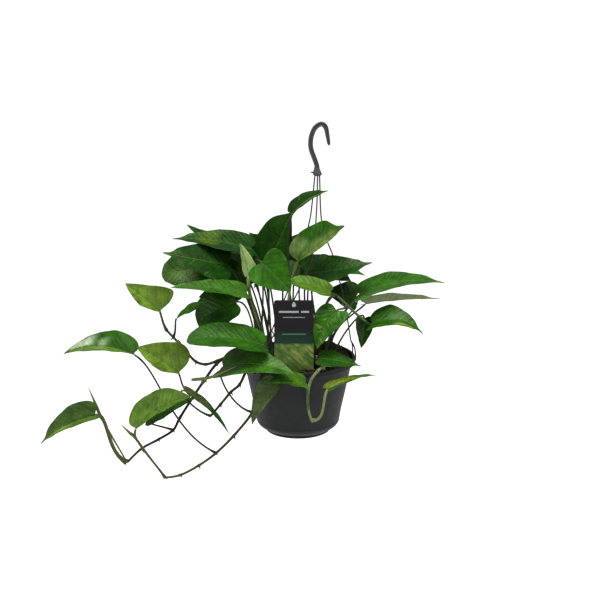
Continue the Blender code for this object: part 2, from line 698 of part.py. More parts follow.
def blade_point(frame, size, bend, x, y, lift):
    """A point of a folded, arched blade; x runs from base to tip in lengths, y in half widths."""
    base, along, side, up = frame
    length, right, left = size
    fold, arch, swing = bend
    angle = radians(fold)
    across = y * (left if y > 0 else right)
    rise = abs(across) * sin(angle) + 4 * arch * length * x * (1 - x)
    across = across * cos(angle) + 4 * swing * length * x * (1 - x)
    return base + along * x * length + side * across + up * (rise + lift)


def make_leaf(name, spec, materials):
    base, tip, width, face, fold, arch, swing, root = spec
    base = np.array(fitted(base))
    tip = np.array(fitted(tip))
    length = np.linalg.norm(tip - base)
    along = unit(tip - base)
    up = np.array(face, dtype=float)
    up = unit(up - along * np.dot(up, along))
    side = np.cross(up, along)
    frame = (base, along, side, up)
    right, right_form, left, left_form = SIDES.get(name, (width / 2, "heart", width / 2, "heart"))
    size = (length, right, left)
    bend = (fold, arch, swing)

    start, lean = petiole_root(root, base, PETIOLE_R)
    reach = np.linalg.norm(base - start)
    arrive = unit(along * 0.6 + up * 0.5)
    path = bezier(start, start + lean * reach * 0.4, base - arrive * reach * 0.25,
                  base - arrive * 1.5, 4)[:-1]
    path = np.vstack([path, base - arrive * 1.5])
    frames = frames_along(path[::-1], side)[::-1]
    rings = []
    for i, (point, (tangent, across, _)) in enumerate(zip(path, frames)):
        tangent = -tangent
        normal = np.cross(tangent, across)
        radius = PETIOLE_R * (PETIOLE_FOOT - (PETIOLE_FOOT - 1) * i / (len(path) - 1))
        ring = []
        for k in range(8):
            angle = pi - k * pi / 4
            ring.append(point + radius * (cos(angle) * across + sin(angle) * normal))
        rings.append(ring)
    for station, (mid, _, _) in enumerate(OUTLINES["heart"]):
        ring = []
        for u, top in ((-1, 0), (-0.5, 1), (0, 1), (0.5, 1), (1, 0), (0.5, -1), (0, -1), (-0.5, -1)):
            _, edge, half = OUTLINES[left_form if u > 0 else right_form][station]
            x = mid + (edge - mid) * abs(u) ** 1.6
            thick = BLADE_T / 2 * (1 - 0.35 * abs(u)) * top
            if mid == 0.0:
                thick = PETIOLE_R * 0.8 * top
            if mid == 1.0:
                thick *= 0.4
            ring.append(blade_point(frame, size, bend, x, u * half, thick))
        rings.append(ring)
    return add_object(name, *loft(rings), materials["leaf"])


def make_spear(name, spec, materials):
    """A new leaf still rolled into a tapering spear."""
    points = [np.array(fitted(p)) for p in spec[1:]]
    root = spec[0]
    if isinstance(root[0], str):
        start = petiole_root(root, points[0], SPEAR_R * SPEAR_SHAPE[0])[0]
    else:
        start = np.array(fitted(root))
    path = smooth_path([start] + points, 3)
    radii = [SPEAR_R * share for share in SPEAR_SHAPE]
    return add_object(name, *loft(tube_rings(path, radii, 6)), materials["new"])


def main():
    clear_scene()
    materials = make_materials()
    make_pot(materials)
    make_saucer(materials)
    make_soil(materials)
    make_hook(materials)
    for name, (angle, way) in STRANDS.items():
        make_strand(name, angle, way, materials)
    label_prism("care_label", 0.0, LABEL_TOP, materials["label"])
    for name in STEMS:
        make_stem(name, materials)
    for name, spec in LEAVES.items():
        make_leaf(name, spec, materials)
    for name, spec in SPEARS.items():
        make_spear(name, spec, materials)


main()
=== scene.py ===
"""Looks of a trailing pothos in a hanging pot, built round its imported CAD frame.

Shapes are worked out in millimetres from the centre of the saucer's underside,
X to the right, Y to the back and Z up, and are then set in the frame.  Leaves,
stems and strands follow the same guide points as their CAD solids, as finer
meshes that grow out of each other.
"""
from math import cos, exp, pi, radians, sin, sqrt

import bmesh
import bpy
import numpy as np
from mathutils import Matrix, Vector


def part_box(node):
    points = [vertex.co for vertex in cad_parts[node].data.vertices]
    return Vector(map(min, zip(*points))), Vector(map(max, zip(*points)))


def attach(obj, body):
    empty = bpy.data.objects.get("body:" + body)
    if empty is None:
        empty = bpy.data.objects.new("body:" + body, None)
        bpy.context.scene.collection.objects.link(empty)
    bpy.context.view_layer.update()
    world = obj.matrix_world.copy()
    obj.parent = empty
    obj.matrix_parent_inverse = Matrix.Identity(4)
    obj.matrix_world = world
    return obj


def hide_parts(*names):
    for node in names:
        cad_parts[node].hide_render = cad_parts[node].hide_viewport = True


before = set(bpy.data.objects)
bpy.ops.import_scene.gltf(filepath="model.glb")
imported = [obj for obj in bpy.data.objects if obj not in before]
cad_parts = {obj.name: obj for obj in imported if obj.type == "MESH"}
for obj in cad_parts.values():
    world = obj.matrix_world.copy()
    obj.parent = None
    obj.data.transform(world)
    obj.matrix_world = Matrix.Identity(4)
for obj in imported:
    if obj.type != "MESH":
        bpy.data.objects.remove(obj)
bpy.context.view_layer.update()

MM = 0.001
SAUCER_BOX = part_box("drip_saucer")
POT_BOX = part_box("pot")
ORIGIN = np.array([(SAUCER_BOX[0].x + SAUCER_BOX[1].x) / 2,
                   (SAUCER_BOX[0].y + SAUCER_BOX[1].y) / 2, SAUCER_BOX[0].z]) / MM

# Pot and saucer, in millimetres
POT_RIM_R = (POT_BOX[1].x - POT_BOX[0].x) / 2 / MM
POT_HEIGHT = POT_BOX[1].z / MM - ORIGIN[2]
POT_WALL = 1.8
RIM_DEPTH = 7.0
FLARE = [(0.16, 0.19), (0.45, 0.46)]           # wall: shares of its spread and of its rise
RIM_LIP = 4.5
RIM_TOP = 3.4             # width of the rim's top face
INNER_R = POT_RIM_R - RIM_LIP - POT_WALL
HEEL_SPREAD = 13.5
HEEL_RISE = 12.0
SAUCER_R = (SAUCER_BOX[1].x - SAUCER_BOX[0].x) / 2 / MM
SAUCER_H = (SAUCER_BOX[1].z - SAUCER_BOX[0].z) / MM
SAUCER_FLOOR = 1.4
SAUCER_WALL = 1.2
GAP = 0.3                 # clearance between parts that fit
FOOT_R = SAUCER_R - SAUCER_WALL - GAP
TURN_SEGMENTS = 144
AXIS_R = 0.5              # turned skins close this near the axis

# Soil
SOIL_LEVEL = 97.0
SOIL_MOUND = 14.0
MOUND_AT = (48.0, 28.0)
MOUND_SPREAD = 30.0

# Hook and strands
HOOK_W = 6.2
HOOK_T = 5.0
COLLAR_R = 5.4
COLLAR_H = 11.0
COLLAR_AT = (25.0, 0.0, 340.0)
STRAND_R = 0.9
CLIP_RISE = 16.0
CLIP_HALF_ANGLE = 6.0
HOOK_PATH = [
    (25, 0, 345), (24, 0, 353), (21, 0, 362), (17, 0, 373), (16, 0, 382),
    (17.5, 0, 392), (22, 0, 401.5), (29.5, 0, 406), (35, 0, 402), (37.5, 0, 391),
    (39.5, 0, 379),
]
STRANDS = {
    "strand_right": (12.0, [(27.5, 0.5), (30, 2, 284), (38, 5, 253), (46, 8, 231), (60, 12, 174)]),
    "strand_back": (120.0, [(21.8, 1.5), (17, 6, 292), (13, 12, 270), (4, 27, 225), (-18, 47, 165)]),
    "strand_left": (228.0, [(25, -2.8), (24, -6, 300), (20.5, -11, 255), (13, -20, 222),
                            (-16, -36, 165)]),
}

# Care label
LABEL_W = 50.0
LABEL_T = 0.8
LABEL_TOP = 193.0
LABEL_FOOT = SOIL_LEVEL + 2.8
LABEL_AT = (-5.0, -58.0)
LABEL_LEAN = 3.0
STAKE_W = 16.0
INK_T = 0.08
STAKE_END = 62.0

# Plant
STEM_R = 2.1
PETIOLE_R = 1.15
SPEAR_R = 2.0
BLADE_T = 0.7

STEMS = {
    "vine_long": [(-35, -56), (-37, -64, 108), (-41, -73, 107), (-47, -79, 93), (-52, -79, 71),
                  (-58, -75, 48), (-82, -73, 16), (-105, -75, -7), (-127, -80, -22),
                  (-150, -85, -33), (-170, -88, -36)],
    "vine_mid": [(-50, -20), (-68, -28, 110), (-86, -36, 112), (-104, -42, 103),
                 (-120, -45, 82), (-134, -50, 62), (-152, -55, 34), (-161, -58, 18),
                 (-180, -60, 6), (-202, -62, -6), (-221, -64, -24)],
    "vine_short": [(-46, -32), (-58, -42, 109), (-67, -50, 94), (-75, -53, 78),
                   (-86, -56, 69), (-99, -60, 54), (-112, -63, 39)],
    "vine_high": [(-60, 8), (-70, -8, 112), (-82, -26, 112), (-104, -34, 104),
                  (-119, -36, 100), (-131, -38, 104), (-141, -38, 114), (-152, -38, 128),
                  (-160, -38, 137), (-169, -38, 147)],
    "vine_front": [(33, -52), (32, -72, 108), (25, -81, 105), (17, -84, 95), (13, -85, 80),
                   (13, -84, 58), (17, -82, 40)],
    "stem_crown": [(-12, 10), (-13, 9, 130), (-12, 6, 160), (-11, 4, 190), (-13, 3, 212)],
    "stem_arch": [(18, -2), (24, -12, 135), (32, -26, 166), (40, -36, 187), (49, -40, 192),
                  (62, -38, 180), (78, -34, 164), (88, -32, 155)],
}

# Leaves: base of the blade, its tip, full width, the way its upper side faces,
# half fold angle in degrees, arch and swing as parts of the length, and the
# root of the petiole: a place on the soil, or a stem and one of its way points.
LEAF_ROWS = {
    "crown": [
        ((-8, -4, 291), (39, -18, 324), 29, (-0.3, -0.5, 0.8), 24, 0.07, 0.04, ("stem_crown", 4)),
        ((-37, 14, 226), (-9, 7, 290), 50, (0.1, -0.95, 0.2), 12, 0.04, 0.0, ("stem_crown", 3)),
        ((0, -22, 233), (59, -32, 281), 40, (0.1, -0.75, 0.65), 12, 0.04, 0.0, (-20, -30)),
        ((8, 2, 212), (95, -20, 231), 54, (0, -0.6, 0.8), 10, 0.02, -0.05, (10, -14)),
        ((29, 32, 206), (88, 24, 204), 34, (0, -0.3, 0.95), 14, 0.06, 0.0, (22, 22)),
        ((-46, -46, 238), (-9, -51, 201), 54, (0.1, -0.9, 0.4), 8, 0.05, 0.0, (-34, -24)),
        ((-62, -40, 219), (-73, -49, 263), 24, (0.5, 0.8, 0.3), 18, 0.05, 0.0, (-36, -36)),
        ((-44, 20, 231), (-63, 18, 262), 30, (0.3, -0.85, 0.4), 10, 0.06, 0.0, (-26, 22)),
        ((-16, 32, 212), (-27, 28, 258), 34, (0.2, -0.9, 0.3), 10, 0.06, 0.0, (-2, 26)),
        ((-64, 31, 192), (-99, 29, 219), 40, (0.2, -0.7, 0.6), 12, 0.08, 0.0, (-42, 22)),
    ],
    "right": [
        ((80, -10, 186), (189, -20, 204), 50, (0, -0.28, 0.96), 12, 0.08, 0.03, (36, 2)),
        ((88, 0, 171), (186, 6, 176), 30, (0.0, 0.6, 0.8), 20, 0.03, 0.0, (40, 16)),
        ((95, -30, 152), (160, -45, 143), 44, (0.1, -0.5, 0.87), 22, 0.14, 0.1, ("stem_arch", 7)),
        ((86, -10, 155), (82, -20, 117), 26, (0.3, -0.9, 0.2), 12, 0.05, 0.0, (46, -10)),
        ((76, 36, 168), (36, 34, 178), 44, (0.1, -0.7, 0.7), 12, 0.08, 0.0, (44, 36)),
    ],
    "front": [
        ((41, -46, 199), (-13, -42, 213), 34, (0, -0.4, 0.9), 12, 0.04, 0.0, ("stem_arch", 4)),
        ((50, -50, 176), (24, -68, 130), 40, (-0.2, -0.85, 0.5), 16, 0.08, -0.06, ("stem_arch", 5)),
        ((28, -64, 117), (80, -76, 110), 34, (0.05, -0.35, 0.93), 4, 0.03, 0.0, (20, -42)),
        ((38, -90, 84), (103, -66, 95), 32, (-0.2, -0.2, 0.97), 16, 0.07, 0.0, ("vine_front", 6)),
        ((9, -94, 93), (-38, -106, 98), 34, (0.1, -0.3, 0.95), 10, 0.1, 0.0, ("vine_front", 5)),
        ((-26, -92, 92), (-58, -90, 37), 34, (-0.5, -0.8, 0.35), 20, 0.08, 0.0, ("vine_long", 3)),
        ((-96, -66, 105), (-3, -107, 108), 58, (0.1, -0.5, 0.85), 12, 0.12, 0.0, ("vine_long", 5)),
    ],
    "left": [
        ((-60, -11, 247), (-160, -20, 262), 50, (0, -0.38, 0.92), 12, 0.05, 0.0, (-48, -2)),
        ((-98, 30, 240), (-145, 30, 270), 24, (0, -0.5, 0.85), 10, -0.04, 0.0, (-46, 30)),
        ((-91, -24, 229), (-170, -46, 250), 56, (0.1, -0.7, 0.7), 12, 0.06, 0.04, (-45, -14)),
        ((-66, -60, 201), (-159, -74, 212), 36, (0, -0.35, 0.94), 12, 0.05, 0.0, (-42, -42)),
        ((-43, -76, 138), (-139, -88, 148), 50, (0, -0.4, 0.9), 12, 0.08, 0.0, (-33, -45)),
        ((-80, -12, 177), (-131, -10, 148), 56, (-0.3, -0.7, 0.65), 10, 0.08, 0.0, (-53, -8)),
        ((-78, 16, 184), (-130, 14, 176), 46, (-0.1, -0.5, 0.85), 10, 0.06, 0.0, (-50, 22)),
        ((-155, -42, 163), (-114, -44, 186), 14, (-0.4, -0.6, 0.7), 14, 0.08, 0.0, ("vine_high", 8)),
        ((-176, -42, 172), (-218, -50, 211), 46, (0.3, -0.75, 0.6), 14, 0.05, 0.0, ("vine_high", 9)),
        ((-80, 8, 213), (-176, -6, 212), 58, (0, -0.75, 0.65), 10, 0.1, 0.0, (-54, 16)),
    ],
    "vine": [
        ((-152, -62, 96), (-203, -77, 135), 49, (0.3, -0.7, 0.62), 18, 0.05, -0.02, ("vine_mid", 5)),
        ((-144, -78, 78), (-86, -94, 24), 17, (0.6, -0.3, 0.7), 30, 0.04, 0.04, ("vine_short", 6)),
        ((-206, -82, 127), (-293, -92, 132), 46, (0, -0.57, 0.82), 28, 0.18, 0.0, ("vine_long", 7)),
        ((-205, -94, 32), (-135, -90, 74), 44, (-0.29, -0.67, 0.69), 26, 0.06, 0.08, ("vine_long", 10)),
        ((-194, -64, 36), (-132, -53, 60), 36, (-0.2, -0.5, 0.85), 10, 0.06, 0.0, ("vine_mid", 7)),
        ((-260, -60, 39), (-332, -62, 0), 42, (-0.31, -0.63, 0.72), 26, 0.12, 0.0, ("vine_mid", 10)),
    ],
    "back": [
        ((-20, 60, 190), (-60, 98, 168), 48, (-0.3, 0.5, 0.8), 12, 0.1, 0.0, (-14, 44)),
        ((22, 60, 196), (60, 94, 178), 44, (0.3, 0.5, 0.8), 12, 0.1, 0.0, (14, 46)),
        ((-72, 58, 212), (-124, 82, 216), 46, (-0.2, 0.4, 0.9), 12, 0.08, 0.0, (-36, 44)),
    ],
}
LEAVES = {f"{group}_{i}": row for group, rows in LEAF_ROWS.items()
          for i, row in enumerate(rows, 1)}

SPEARS = {
    "new_leaf_mid": (("vine_mid", 4), (-134, -70, 90), (-110, -94, 101), (-77, -103, 118)),
    "new_leaf_long": (("vine_long", 10), (-205, -87, 15), (-214, -89, 26), (-225, -91, 38)),
    "new_leaf_tip": (("vine_mid", 10), (-252, -48, 26), (-261, -49, 50), (-270, -52, 76)),
}

# Half outlines of a blade: at each station on the midrib the place of the edge, as
# a part of the length, and the half width, as a part of the largest.
STATIONS = [0.0, 0.06, 0.18, 0.38, 0.6, 0.82, 1.0]
OUTLINES = {
    "heart": [(0.0, 0.07), (-0.07, 0.55), (0.0, 0.92), (0.23, 1.0), (0.5, 0.76), (0.79, 0.38),
              (1.0, 0.02)],
    "straight": [(0.0, 0.07), (-0.06, 0.62), (0.03, 1.0), (0.27, 0.86), (0.52, 0.57), (0.79, 0.27),
                 (1.0, 0.02)],
    "full": [(0.0, 0.07), (-0.05, 0.5), (0.03, 0.84), (0.25, 1.0), (0.52, 0.97), (0.8, 0.74),
             (1.0, 0.05)],
    "blunt": [(0.0, 0.07), (-0.05, 0.5), (0.03, 0.84), (0.25, 1.0), (0.55, 0.99), (0.8, 0.84),
              (0.96, 0.45)],
    "taper": [(0.0, 0.07), (0.05, 0.18), (0.15, 0.45), (0.33, 0.82), (0.56, 1.0), (0.8, 0.62),
              (1.0, 0.04)],
}

# Leaves with unlike sides: half width and outline to the right and to the left
# of the midrib, seen from above with the tip ahead.
SIDES = {
    "left_9": (32, "straight", 14, "taper"),
    "vine_1": (33, "heart", 18, "taper"),
    "vine_3": (23, "heart", 15, "taper"),
    "left_5": (25, "blunt", 25, "blunt"),
    "left_10": (29, "blunt", 29, "blunt"),
    "front_1": (15, "full", 16, "full"),
    "left_8": (7, "taper", 7, "taper"),
    "left_6": (28, "blunt", 28, "blunt"),
    "vine_4": (12, "taper", 23, "full"),
    "vine_6": (23, "heart", 12, "heart"),
    "crown_3": (6, "taper", 27, "full"),
    "front_4": (11, "straight", 11, "straight"),
    "front_6": (19, "heart", 9, "heart"),
    "crown_2": (22, "heart", 29, "full"),
}

# Leaf tones: upper side, underside
DEEP = ((0.006, 0.038, 0.0015), (0.045, 0.085, 0.018))
DUSK = ((0.011, 0.062, 0.002), (0.05, 0.1, 0.02))
MID = ((0.018, 0.088, 0.003), (0.06, 0.115, 0.022))
MOSS = ((0.042, 0.092, 0.016), (0.07, 0.125, 0.026))
FRESH = ((0.028, 0.105, 0.006), (0.08, 0.14, 0.03))
LIME = ((0.055, 0.13, 0.006), (0.09, 0.15, 0.03))
OLIVE = ((0.11, 0.195, 0.02), (0.1, 0.17, 0.026))
SAGE = ((0.075, 0.115, 0.038), (0.2, 0.27, 0.11))
SEDGE = ((0.082, 0.16, 0.02), (0.085, 0.15, 0.024))
PALE = ((0.43, 0.6, 0.21), (0.43, 0.6, 0.21))

# How each leaf differs: tone, strength of the pale streaks, ruffle of the edge in mm
STYLES = {
    "crown_1": (DEEP, 0.5, 0.6),
    "crown_2": (DUSK, 0.1, 0.6),
    "crown_3": (MID, 0.1, 0.6),
    "crown_4": (DEEP, 0.1, 0.8),
    "crown_6": (MID, 0.0, 0.6),
    "crown_7": (PALE, 0.0, 0.4),
    "crown_8": (DEEP, 0.0, 0.6),
    "crown_9": (DEEP, 0.0, 0.6),
    "crown_10": (DEEP, 0.0, 0.6),
    "right_1": (FRESH, 0.1, 0.6),
    "right_2": (SAGE, 0.0, 0.6),
    "right_3": (MID, 0.2, 0.6),
    "right_4": (DEEP, 0.0, 0.6),
    "right_5": (DEEP, 0.0, 0.6),
    "front_1": (LIME, 0.1, 0.5),
    "front_2": (MID, 0.6, 0.5),
    "front_3": (DUSK, 0.0, 0.5),
    "front_4": (FRESH, 0.2, 0.5),
    "front_7": (FRESH, 0.5, 0.5),
    "front_6": (SAGE, 0.0, 0.5),
    "left_1": (DEEP, 0.2, 0.7),
    "left_2": (DEEP, 0.0, 0.7),
    "left_3": (DEEP, 0.5, 0.7),
    "left_4": (FRESH, 0.0, 0.7),
    "left_6": (DUSK, 0.0, 0.7),
    "left_7": (DEEP, 0.0, 0.7),
    "left_9": (OLIVE, 0.0, 0.8),
    "left_10": (DUSK, 0.5, 0.7),
    "vine_1": (OLIVE, 0.0, 0.8),
    "vine_2": (DUSK, 0.1, 0.6),
    "vine_4": (SEDGE, 0.0, 0.8),
    "vine_6": (MOSS, 0.1, 0.7),
}
USUAL_STYLE = (MID, 0.1, 0.7)
USUAL_DROOP = 0.02         # sag of the tip where no style is given, as a part of the length
FILL_STYLE = (DEEP, 0.0, 0.6)

# Leaves whose left half is of another tone
LEFT_HALVES = {"vine_3": SEDGE, "vine_6": SEDGE, "right_1": MID}

# Patches of another tone, some of them painted highlights: stretch along the blade,
# stretch across it from the right edge (-1) to the left (1), colour
PATCHES_AND_HIGHLIGHTS = {
    "crown_1": [((0.0, 0.9), (-0.35, -0.1), (0.12, 0.19, 0.06))],
    "crown_3": [((-0.1, 0.38), (0.35, 1.1), (0.11, 0.17, 0.045)),
                     ((0.05, 0.85), (-1.1, 0.22), (0.095, 0.15, 0.032))],
    # painted highlight: pale whitish gloss towards the tip of vine_3
    "vine_3": [((0.62, 0.92), (-0.9, -0.1), (0.42, 0.52, 0.33)),
                    ((0.42, 0.5), (-0.5, 0.0), (0.3, 0.42, 0.22))],
    # painted highlight: a pale yellow streak beside the midrib towards the tip of vine_6
    "vine_6": [((0.45, 0.95), (0.0, 0.35), (0.24, 0.33, 0.05))],
    "vine_2": [((-0.1, 0.5), (-1.1, 1.1), (0.075, 0.095, 0.028))],
    "left_1": [((0.45, 0.7), (-0.9, 0.5), (0.04, 0.085, 0.003))],
    # painted highlight: a lighter green patch towards the tip of left_10
    "left_10": [((0.55, 0.9), (-0.2, 0.6), (0.045, 0.1, 0.012))],
    "right_3": [((0.5, 0.85), (-0.75, -0.4), (0.21, 0.29, 0.04))],
    "front_4": [((-0.1, 0.55), (-0.2, 1.1), (0.125, 0.165, 0.012))],
    "front_5": [((-0.1, 0.4), (-1.1, 1.1), (0.045, 0.12, 0.006))],
}

# Leaves with a long dry tip
DRY_TIPS = ("crown_1", "crown_3", "crown_4", "right_1", "right_2",
            "right_3", "front_3", "front_4", "left_1", "left_3",
            "vine_6")
DRY_FROM = 0.84           # where the dry tip starts on the midrib
DRY_WAIST = 0.48          # how far it draws in
DRY = np.array([0.09, 0.075, 0.05])

# Petioles that are stouter or paler than the rest
USUAL_STALK = (1.0, (0.022, 0.045, 0.009))
STALKS = {
    "crown_7": (1.9, (0.14, 0.18, 0.06)),
    "crown_3": (1.3, (0.15, 0.24, 0.055)),
    "crown_2": (1.3, (0.03, 0.05, 0.012)),
    "crown_1": (1.3, (0.03, 0.045, 0.012)),
    "front_4": (1.4, (0.22, 0.27, 0.105)),
    "front_5": (1.2, (0.07, 0.12, 0.025)),
    "vine_6": (2.1, (0.075, 0.095, 0.03)),
    "vine_4": (1.2, (0.06, 0.085, 0.025)),
    "left_9": (1.2, (0.04, 0.06, 0.016)),
    "right_1": (1.3, (0.06, 0.11, 0.02)),
}

# Leaves deep in the crown, behind those that have a solid of their own: base, tip,
# width, way faced and root
FILL_BEND = (10, 0.06, 0.0)
CROWN_FILL = [
    ((-50, 16, 226), (-108, 12, 240), 44, (0, -0.6, 0.8), (-40, 6)),
    ((-14, 44, 244), (-50, 38, 186), 56, (0.1, -0.85, 0.3), (-8, 36)),
    ((-10, 32, 224), (34, 18, 192), 44, (0.1, -0.85, 0.4), (2, 18)),
    ((-64, 46, 204), (-118, 42, 176), 40, (0, -0.8, 0.5), (-34, 32)),
    ((26, 42, 214), (70, 38, 192), 34, (0.1, -0.8, 0.5), (26, 30)),
    ((-30, 56, 220), (-58, 64, 250), 42, (0, -0.9, 0.3), (-22, 24)),
    ((-2, 54, 226), (18, 62, 254), 42, (0, -0.9, 0.3), (-10, 44)),
    ((22, 52, 206), (52, 56, 208), 34, (0, -0.9, 0.3), (12, 14)),
    ((-60, 56, 216), (-98, 56, 226), 36, (0, -0.9, 0.3), (-34, 6)),
]

FIRST_SIDE = (0.31, 0.83, 0.47)       # a side that no path runs along
FLOOR_R = 40.0            # metres
FLOOR_DROP = 620.0        # floor below the saucer: the plant hangs clear of it
RANDOM_SEED = 7


# ---- helpers

def vec(values):
    return np.array(values, dtype=float)


def unit(vector):
    vector = vec(vector)
    return vector / max(np.linalg.norm(vector), 1e-9)


def square_to(vector, axis):
    """Unit vector nearest to the vector among those at right angles to the axis."""
    return unit(vector - axis * np.dot(vector, axis))


def to_frame(points):
    """Millimetres from the saucer's underside to metres in the frame."""
    return (vec(points) + ORIGIN) * MM


def smooth_path(points, steps):
    """Catmull-Rom curve through the points."""
    p = vec(points)
    p = np.vstack([2 * p[0] - p[1], p, 2 * p[-1] - p[-2]])
    out = []
    for i in range(1, len(p) - 2):
        for j in range(steps):
            t = j / steps
            out.append(0.5 * (2 * p[i] + (p[i + 1] - p[i - 1]) * t
                              + (2 * p[i - 1] - 5 * p[i] + 4 * p[i + 1] - p[i + 2]) * t ** 2
                              + (3 * p[i] - p[i - 1] - 3 * p[i + 1] + p[i + 2]) * t ** 3))
    out.append(p[-2])
    return np.array(out)


def bezier(p0, p1, p2, p3, steps):
    return np.array([(1 - t) ** 3 * p0 + 3 * (1 - t) ** 2 * t * p1 + 3 * (1 - t) * t * t * p2
                     + t ** 3 * p3 for t in (i / steps for i in range(steps + 1))])


def frames_along(path, first_side):
    """Tangent, side and normal at each point, carried along without twist."""
    tangents = [unit(path[min(i + 1, len(path) - 1)] - path[max(i - 1, 0)])
                for i in range(len(path))]
    side = vec(first_side)
    frames = []
    for tangent in tangents:
        side = square_to(side, tangent)
        frames.append((tangent, side, np.cross(tangent, side)))
    return frames


def circle(count):
    """Angle, cosine and sine of evenly spaced places round a circle."""
    angles = [2 * pi * k / count for k in range(count)]
    return [(angle, cos(angle), sin(angle)) for angle in angles]


def tube_rings(path, radii, sides, first_side=FIRST_SIDE):
    return [[point + radius * (c * axes[1] + s * axes[2]) for _, c, s in circle(sides)]
            for point, radius, axes in zip(path, radii, frames_along(path, first_side))]


def gone_along(path):
    """Length of the path up to each of its points."""
    return np.append(0.0, np.cumsum(np.linalg.norm(np.diff(path, axis=0), axis=1)))


class Skin:
    """Points, faces and painted values of one piece, gathered before its mesh is made."""

    def __init__(self, rings=None, **looks):
        self.points = []
        self.faces = []
        self.paint = []           # material of each face
        self.tone = []            # colour and streak strength of each point
        self.blade = []           # across, along in millimetres, and place across from -1 to 1
        if rings:
            self.loft(rings, **looks)

    def loft(self, rings, tones=None, blades=None, materials=lambda ring, k: 0):
        """Closed skin through rings of equal count; materials gives each face's material."""
        first = len(self.points)
        count = len(rings[0])
        for r, ring in enumerate(rings):
            self.points.extend(ring)
            self.tone.extend(tones[r] if tones else [(0.5, 0.5, 0.5, 0.0)] * count)
            self.blade.extend(blades[r] if blades else [(0.0, 0.0, 0.0)] * count)
        for r in range(len(rings) - 1):
            for k in range(count):
                a = first + r * count + k
                b = first + r * count + (k + 1) % count
                self.faces.append((a, b, b + count, a + count))
                self.paint.append(materials(r, k))
        self.faces.append(tuple(reversed(range(first, first + count))))
        last = first + (len(rings) - 1) * count
        self.faces.append(tuple(range(last, last + count)))
        self.paint.extend([materials(0, 0)] * 2)


def link(name, data):
    """A new object with that mesh, light or camera, linked to the scene."""
    item = bpy.data.objects.new(name, data)
    bpy.context.scene.collection.objects.link(item)
    return item


def add_piece(name, skin, materials, node=None, sharp=45.0):
    """Makes the piece's mesh, sets it in the frame and hides the CAD part it stands for."""
    mesh = bpy.data.meshes.new(name)
    mesh.from_pydata([tuple(p) for p in to_frame(skin.points)], [], skin.faces)
    for material in materials:
        mesh.materials.append(material)
    mesh.polygons.foreach_set("material_index", skin.paint)
    tone = mesh.attributes.new("tone", "FLOAT_COLOR", "POINT")
    tone.data.foreach_set("color", np.array(skin.tone, dtype=np.float32).ravel())
    blade = mesh.attributes.new("blade", "FLOAT_VECTOR", "POINT")
    blade.data.foreach_set("vector", np.array(skin.blade, dtype=np.float32).ravel())
    shape = bmesh.new()
    shape.from_mesh(mesh)
    bmesh.ops.recalc_face_normals(shape, faces=shape.faces[:])
    shape.to_mesh(mesh)
    shape.free()
    mesh.shade_smooth()
    mesh.set_sharp_from_angle(angle=radians(sharp))
    piece = link(name, mesh)
    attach(piece, "root")
    if node:
        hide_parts(node)
    return piece


# ---- materials

class Nodes:
    """A material's node tree with short ways to add what the finishes need."""

    def __init__(self, name, roughness=0.5, specular=0.5):
        self.material = bpy.data.materials.new(name)
        self.material.use_nodes = True
        self.tree = self.material.node_tree
        self.shader = self.tree.nodes["Principled BSDF"]
        self.shader.inputs["Roughness"].default_value = roughness
        self.shader.inputs["Specular IOR Level"].default_value = specular

    def link(self, value, socket):
        if isinstance(value, bpy.types.NodeSocket):
            self.tree.links.new(value, socket)
        elif isinstance(value, (tuple, list)) and socket.type == "RGBA":
            socket.default_value = (*value, 1.0)[:4]
        else:
            socket.default_value = value

    def add(self, kind, **settings):
        node = self.tree.nodes.new("ShaderNode" + kind)
        for key, value in settings.items():
            setattr(node, key, value)
        return node

    def attribute(self, name, output="Vector"):
        return self.add("Attribute", attribute_name=name).outputs[output]

    def place(self):
        return self.add("TexCoord").outputs["Object"]

    def feed(self, node, *values):
        """Links the values to the node's inputs in turn and returns its first output."""
        for value, socket in zip(values, node.inputs):
            self.link(value, socket)
        return node.outputs[0]

    def math(self, operation, a, b=0.0):
        return self.feed(self.add("Math", operation=operation), a, b)

    def plus(self, a, b):
        return self.math("ADD", a, b)

    def times(self, a, b):
        return self.math("MULTIPLY", a, b)

    def combine(self, x, y, z):
        return self.feed(self.add("CombineXYZ"), x, y, z)

    def separate(self, vector):
        node = self.add("SeparateXYZ")
        self.feed(node, vector)
        return tuple(node.outputs)

    def noise(self, vector, scale, detail=3.0, rough=0.55):
        node = self.add("TexNoise")
        self.link(vector, node.inputs["Vector"])
        node.inputs["Scale"].default_value = scale
        node.inputs["Detail"].default_value = detail
        node.inputs["Roughness"].default_value = rough
        return node.outputs[0]

    def span(self, value, low, high, out_low=0.0, out_high=1.0):
        """value from low to high, smoothly mapped and clamped."""
        node = self.add("MapRange", interpolation_type="SMOOTHSTEP")
        return self.feed(node, value, low, high, out_low, out_high)

    def mix(self, factor, a, b):
        node = self.add("Mix", data_type="RGBA")
        self.link(factor, node.inputs[0])
        self.link(a, node.inputs[6])
        self.link(b, node.inputs[7])
        return node.outputs[2]

    def scale_colour(self, colour, factor):
        """The colour made brighter or darker by a factor."""
        node = self.add("VectorMath", operation="SCALE")
        self.link(colour, node.inputs[0])
        self.link(factor, node.inputs["Scale"])
        return node.outputs[0]

    def vary(self, colour, value, low, high, dim, bright):
        """The colour made dimmer or brighter as the value goes from low to high."""
        return self.scale_colour(colour, self.span(value, low, high, dim, bright))

    def colour(self, value):
        self.link(value, self.shader.inputs["Base Color"])

    def rough(self, value):
        self.link(value, self.shader.inputs["Roughness"])

    def bump(self, height, distance, strength=1.0):
        node = self.add("Bump")
        node.inputs["Strength"].default_value = strength
        node.inputs["Distance"].default_value = distance
        self.link(height, node.inputs["Height"])
        self.link(node.outputs[0], self.shader.inputs["Normal"])


LEAF_GLOSS = (0.75, 0.95, 0.55, 1.0)
VEIN_PITCH = 7.5          # millimetres between side veins along the midrib
VEIN_SWEEP = 0.8          # how far a side vein runs forward for each step outwards


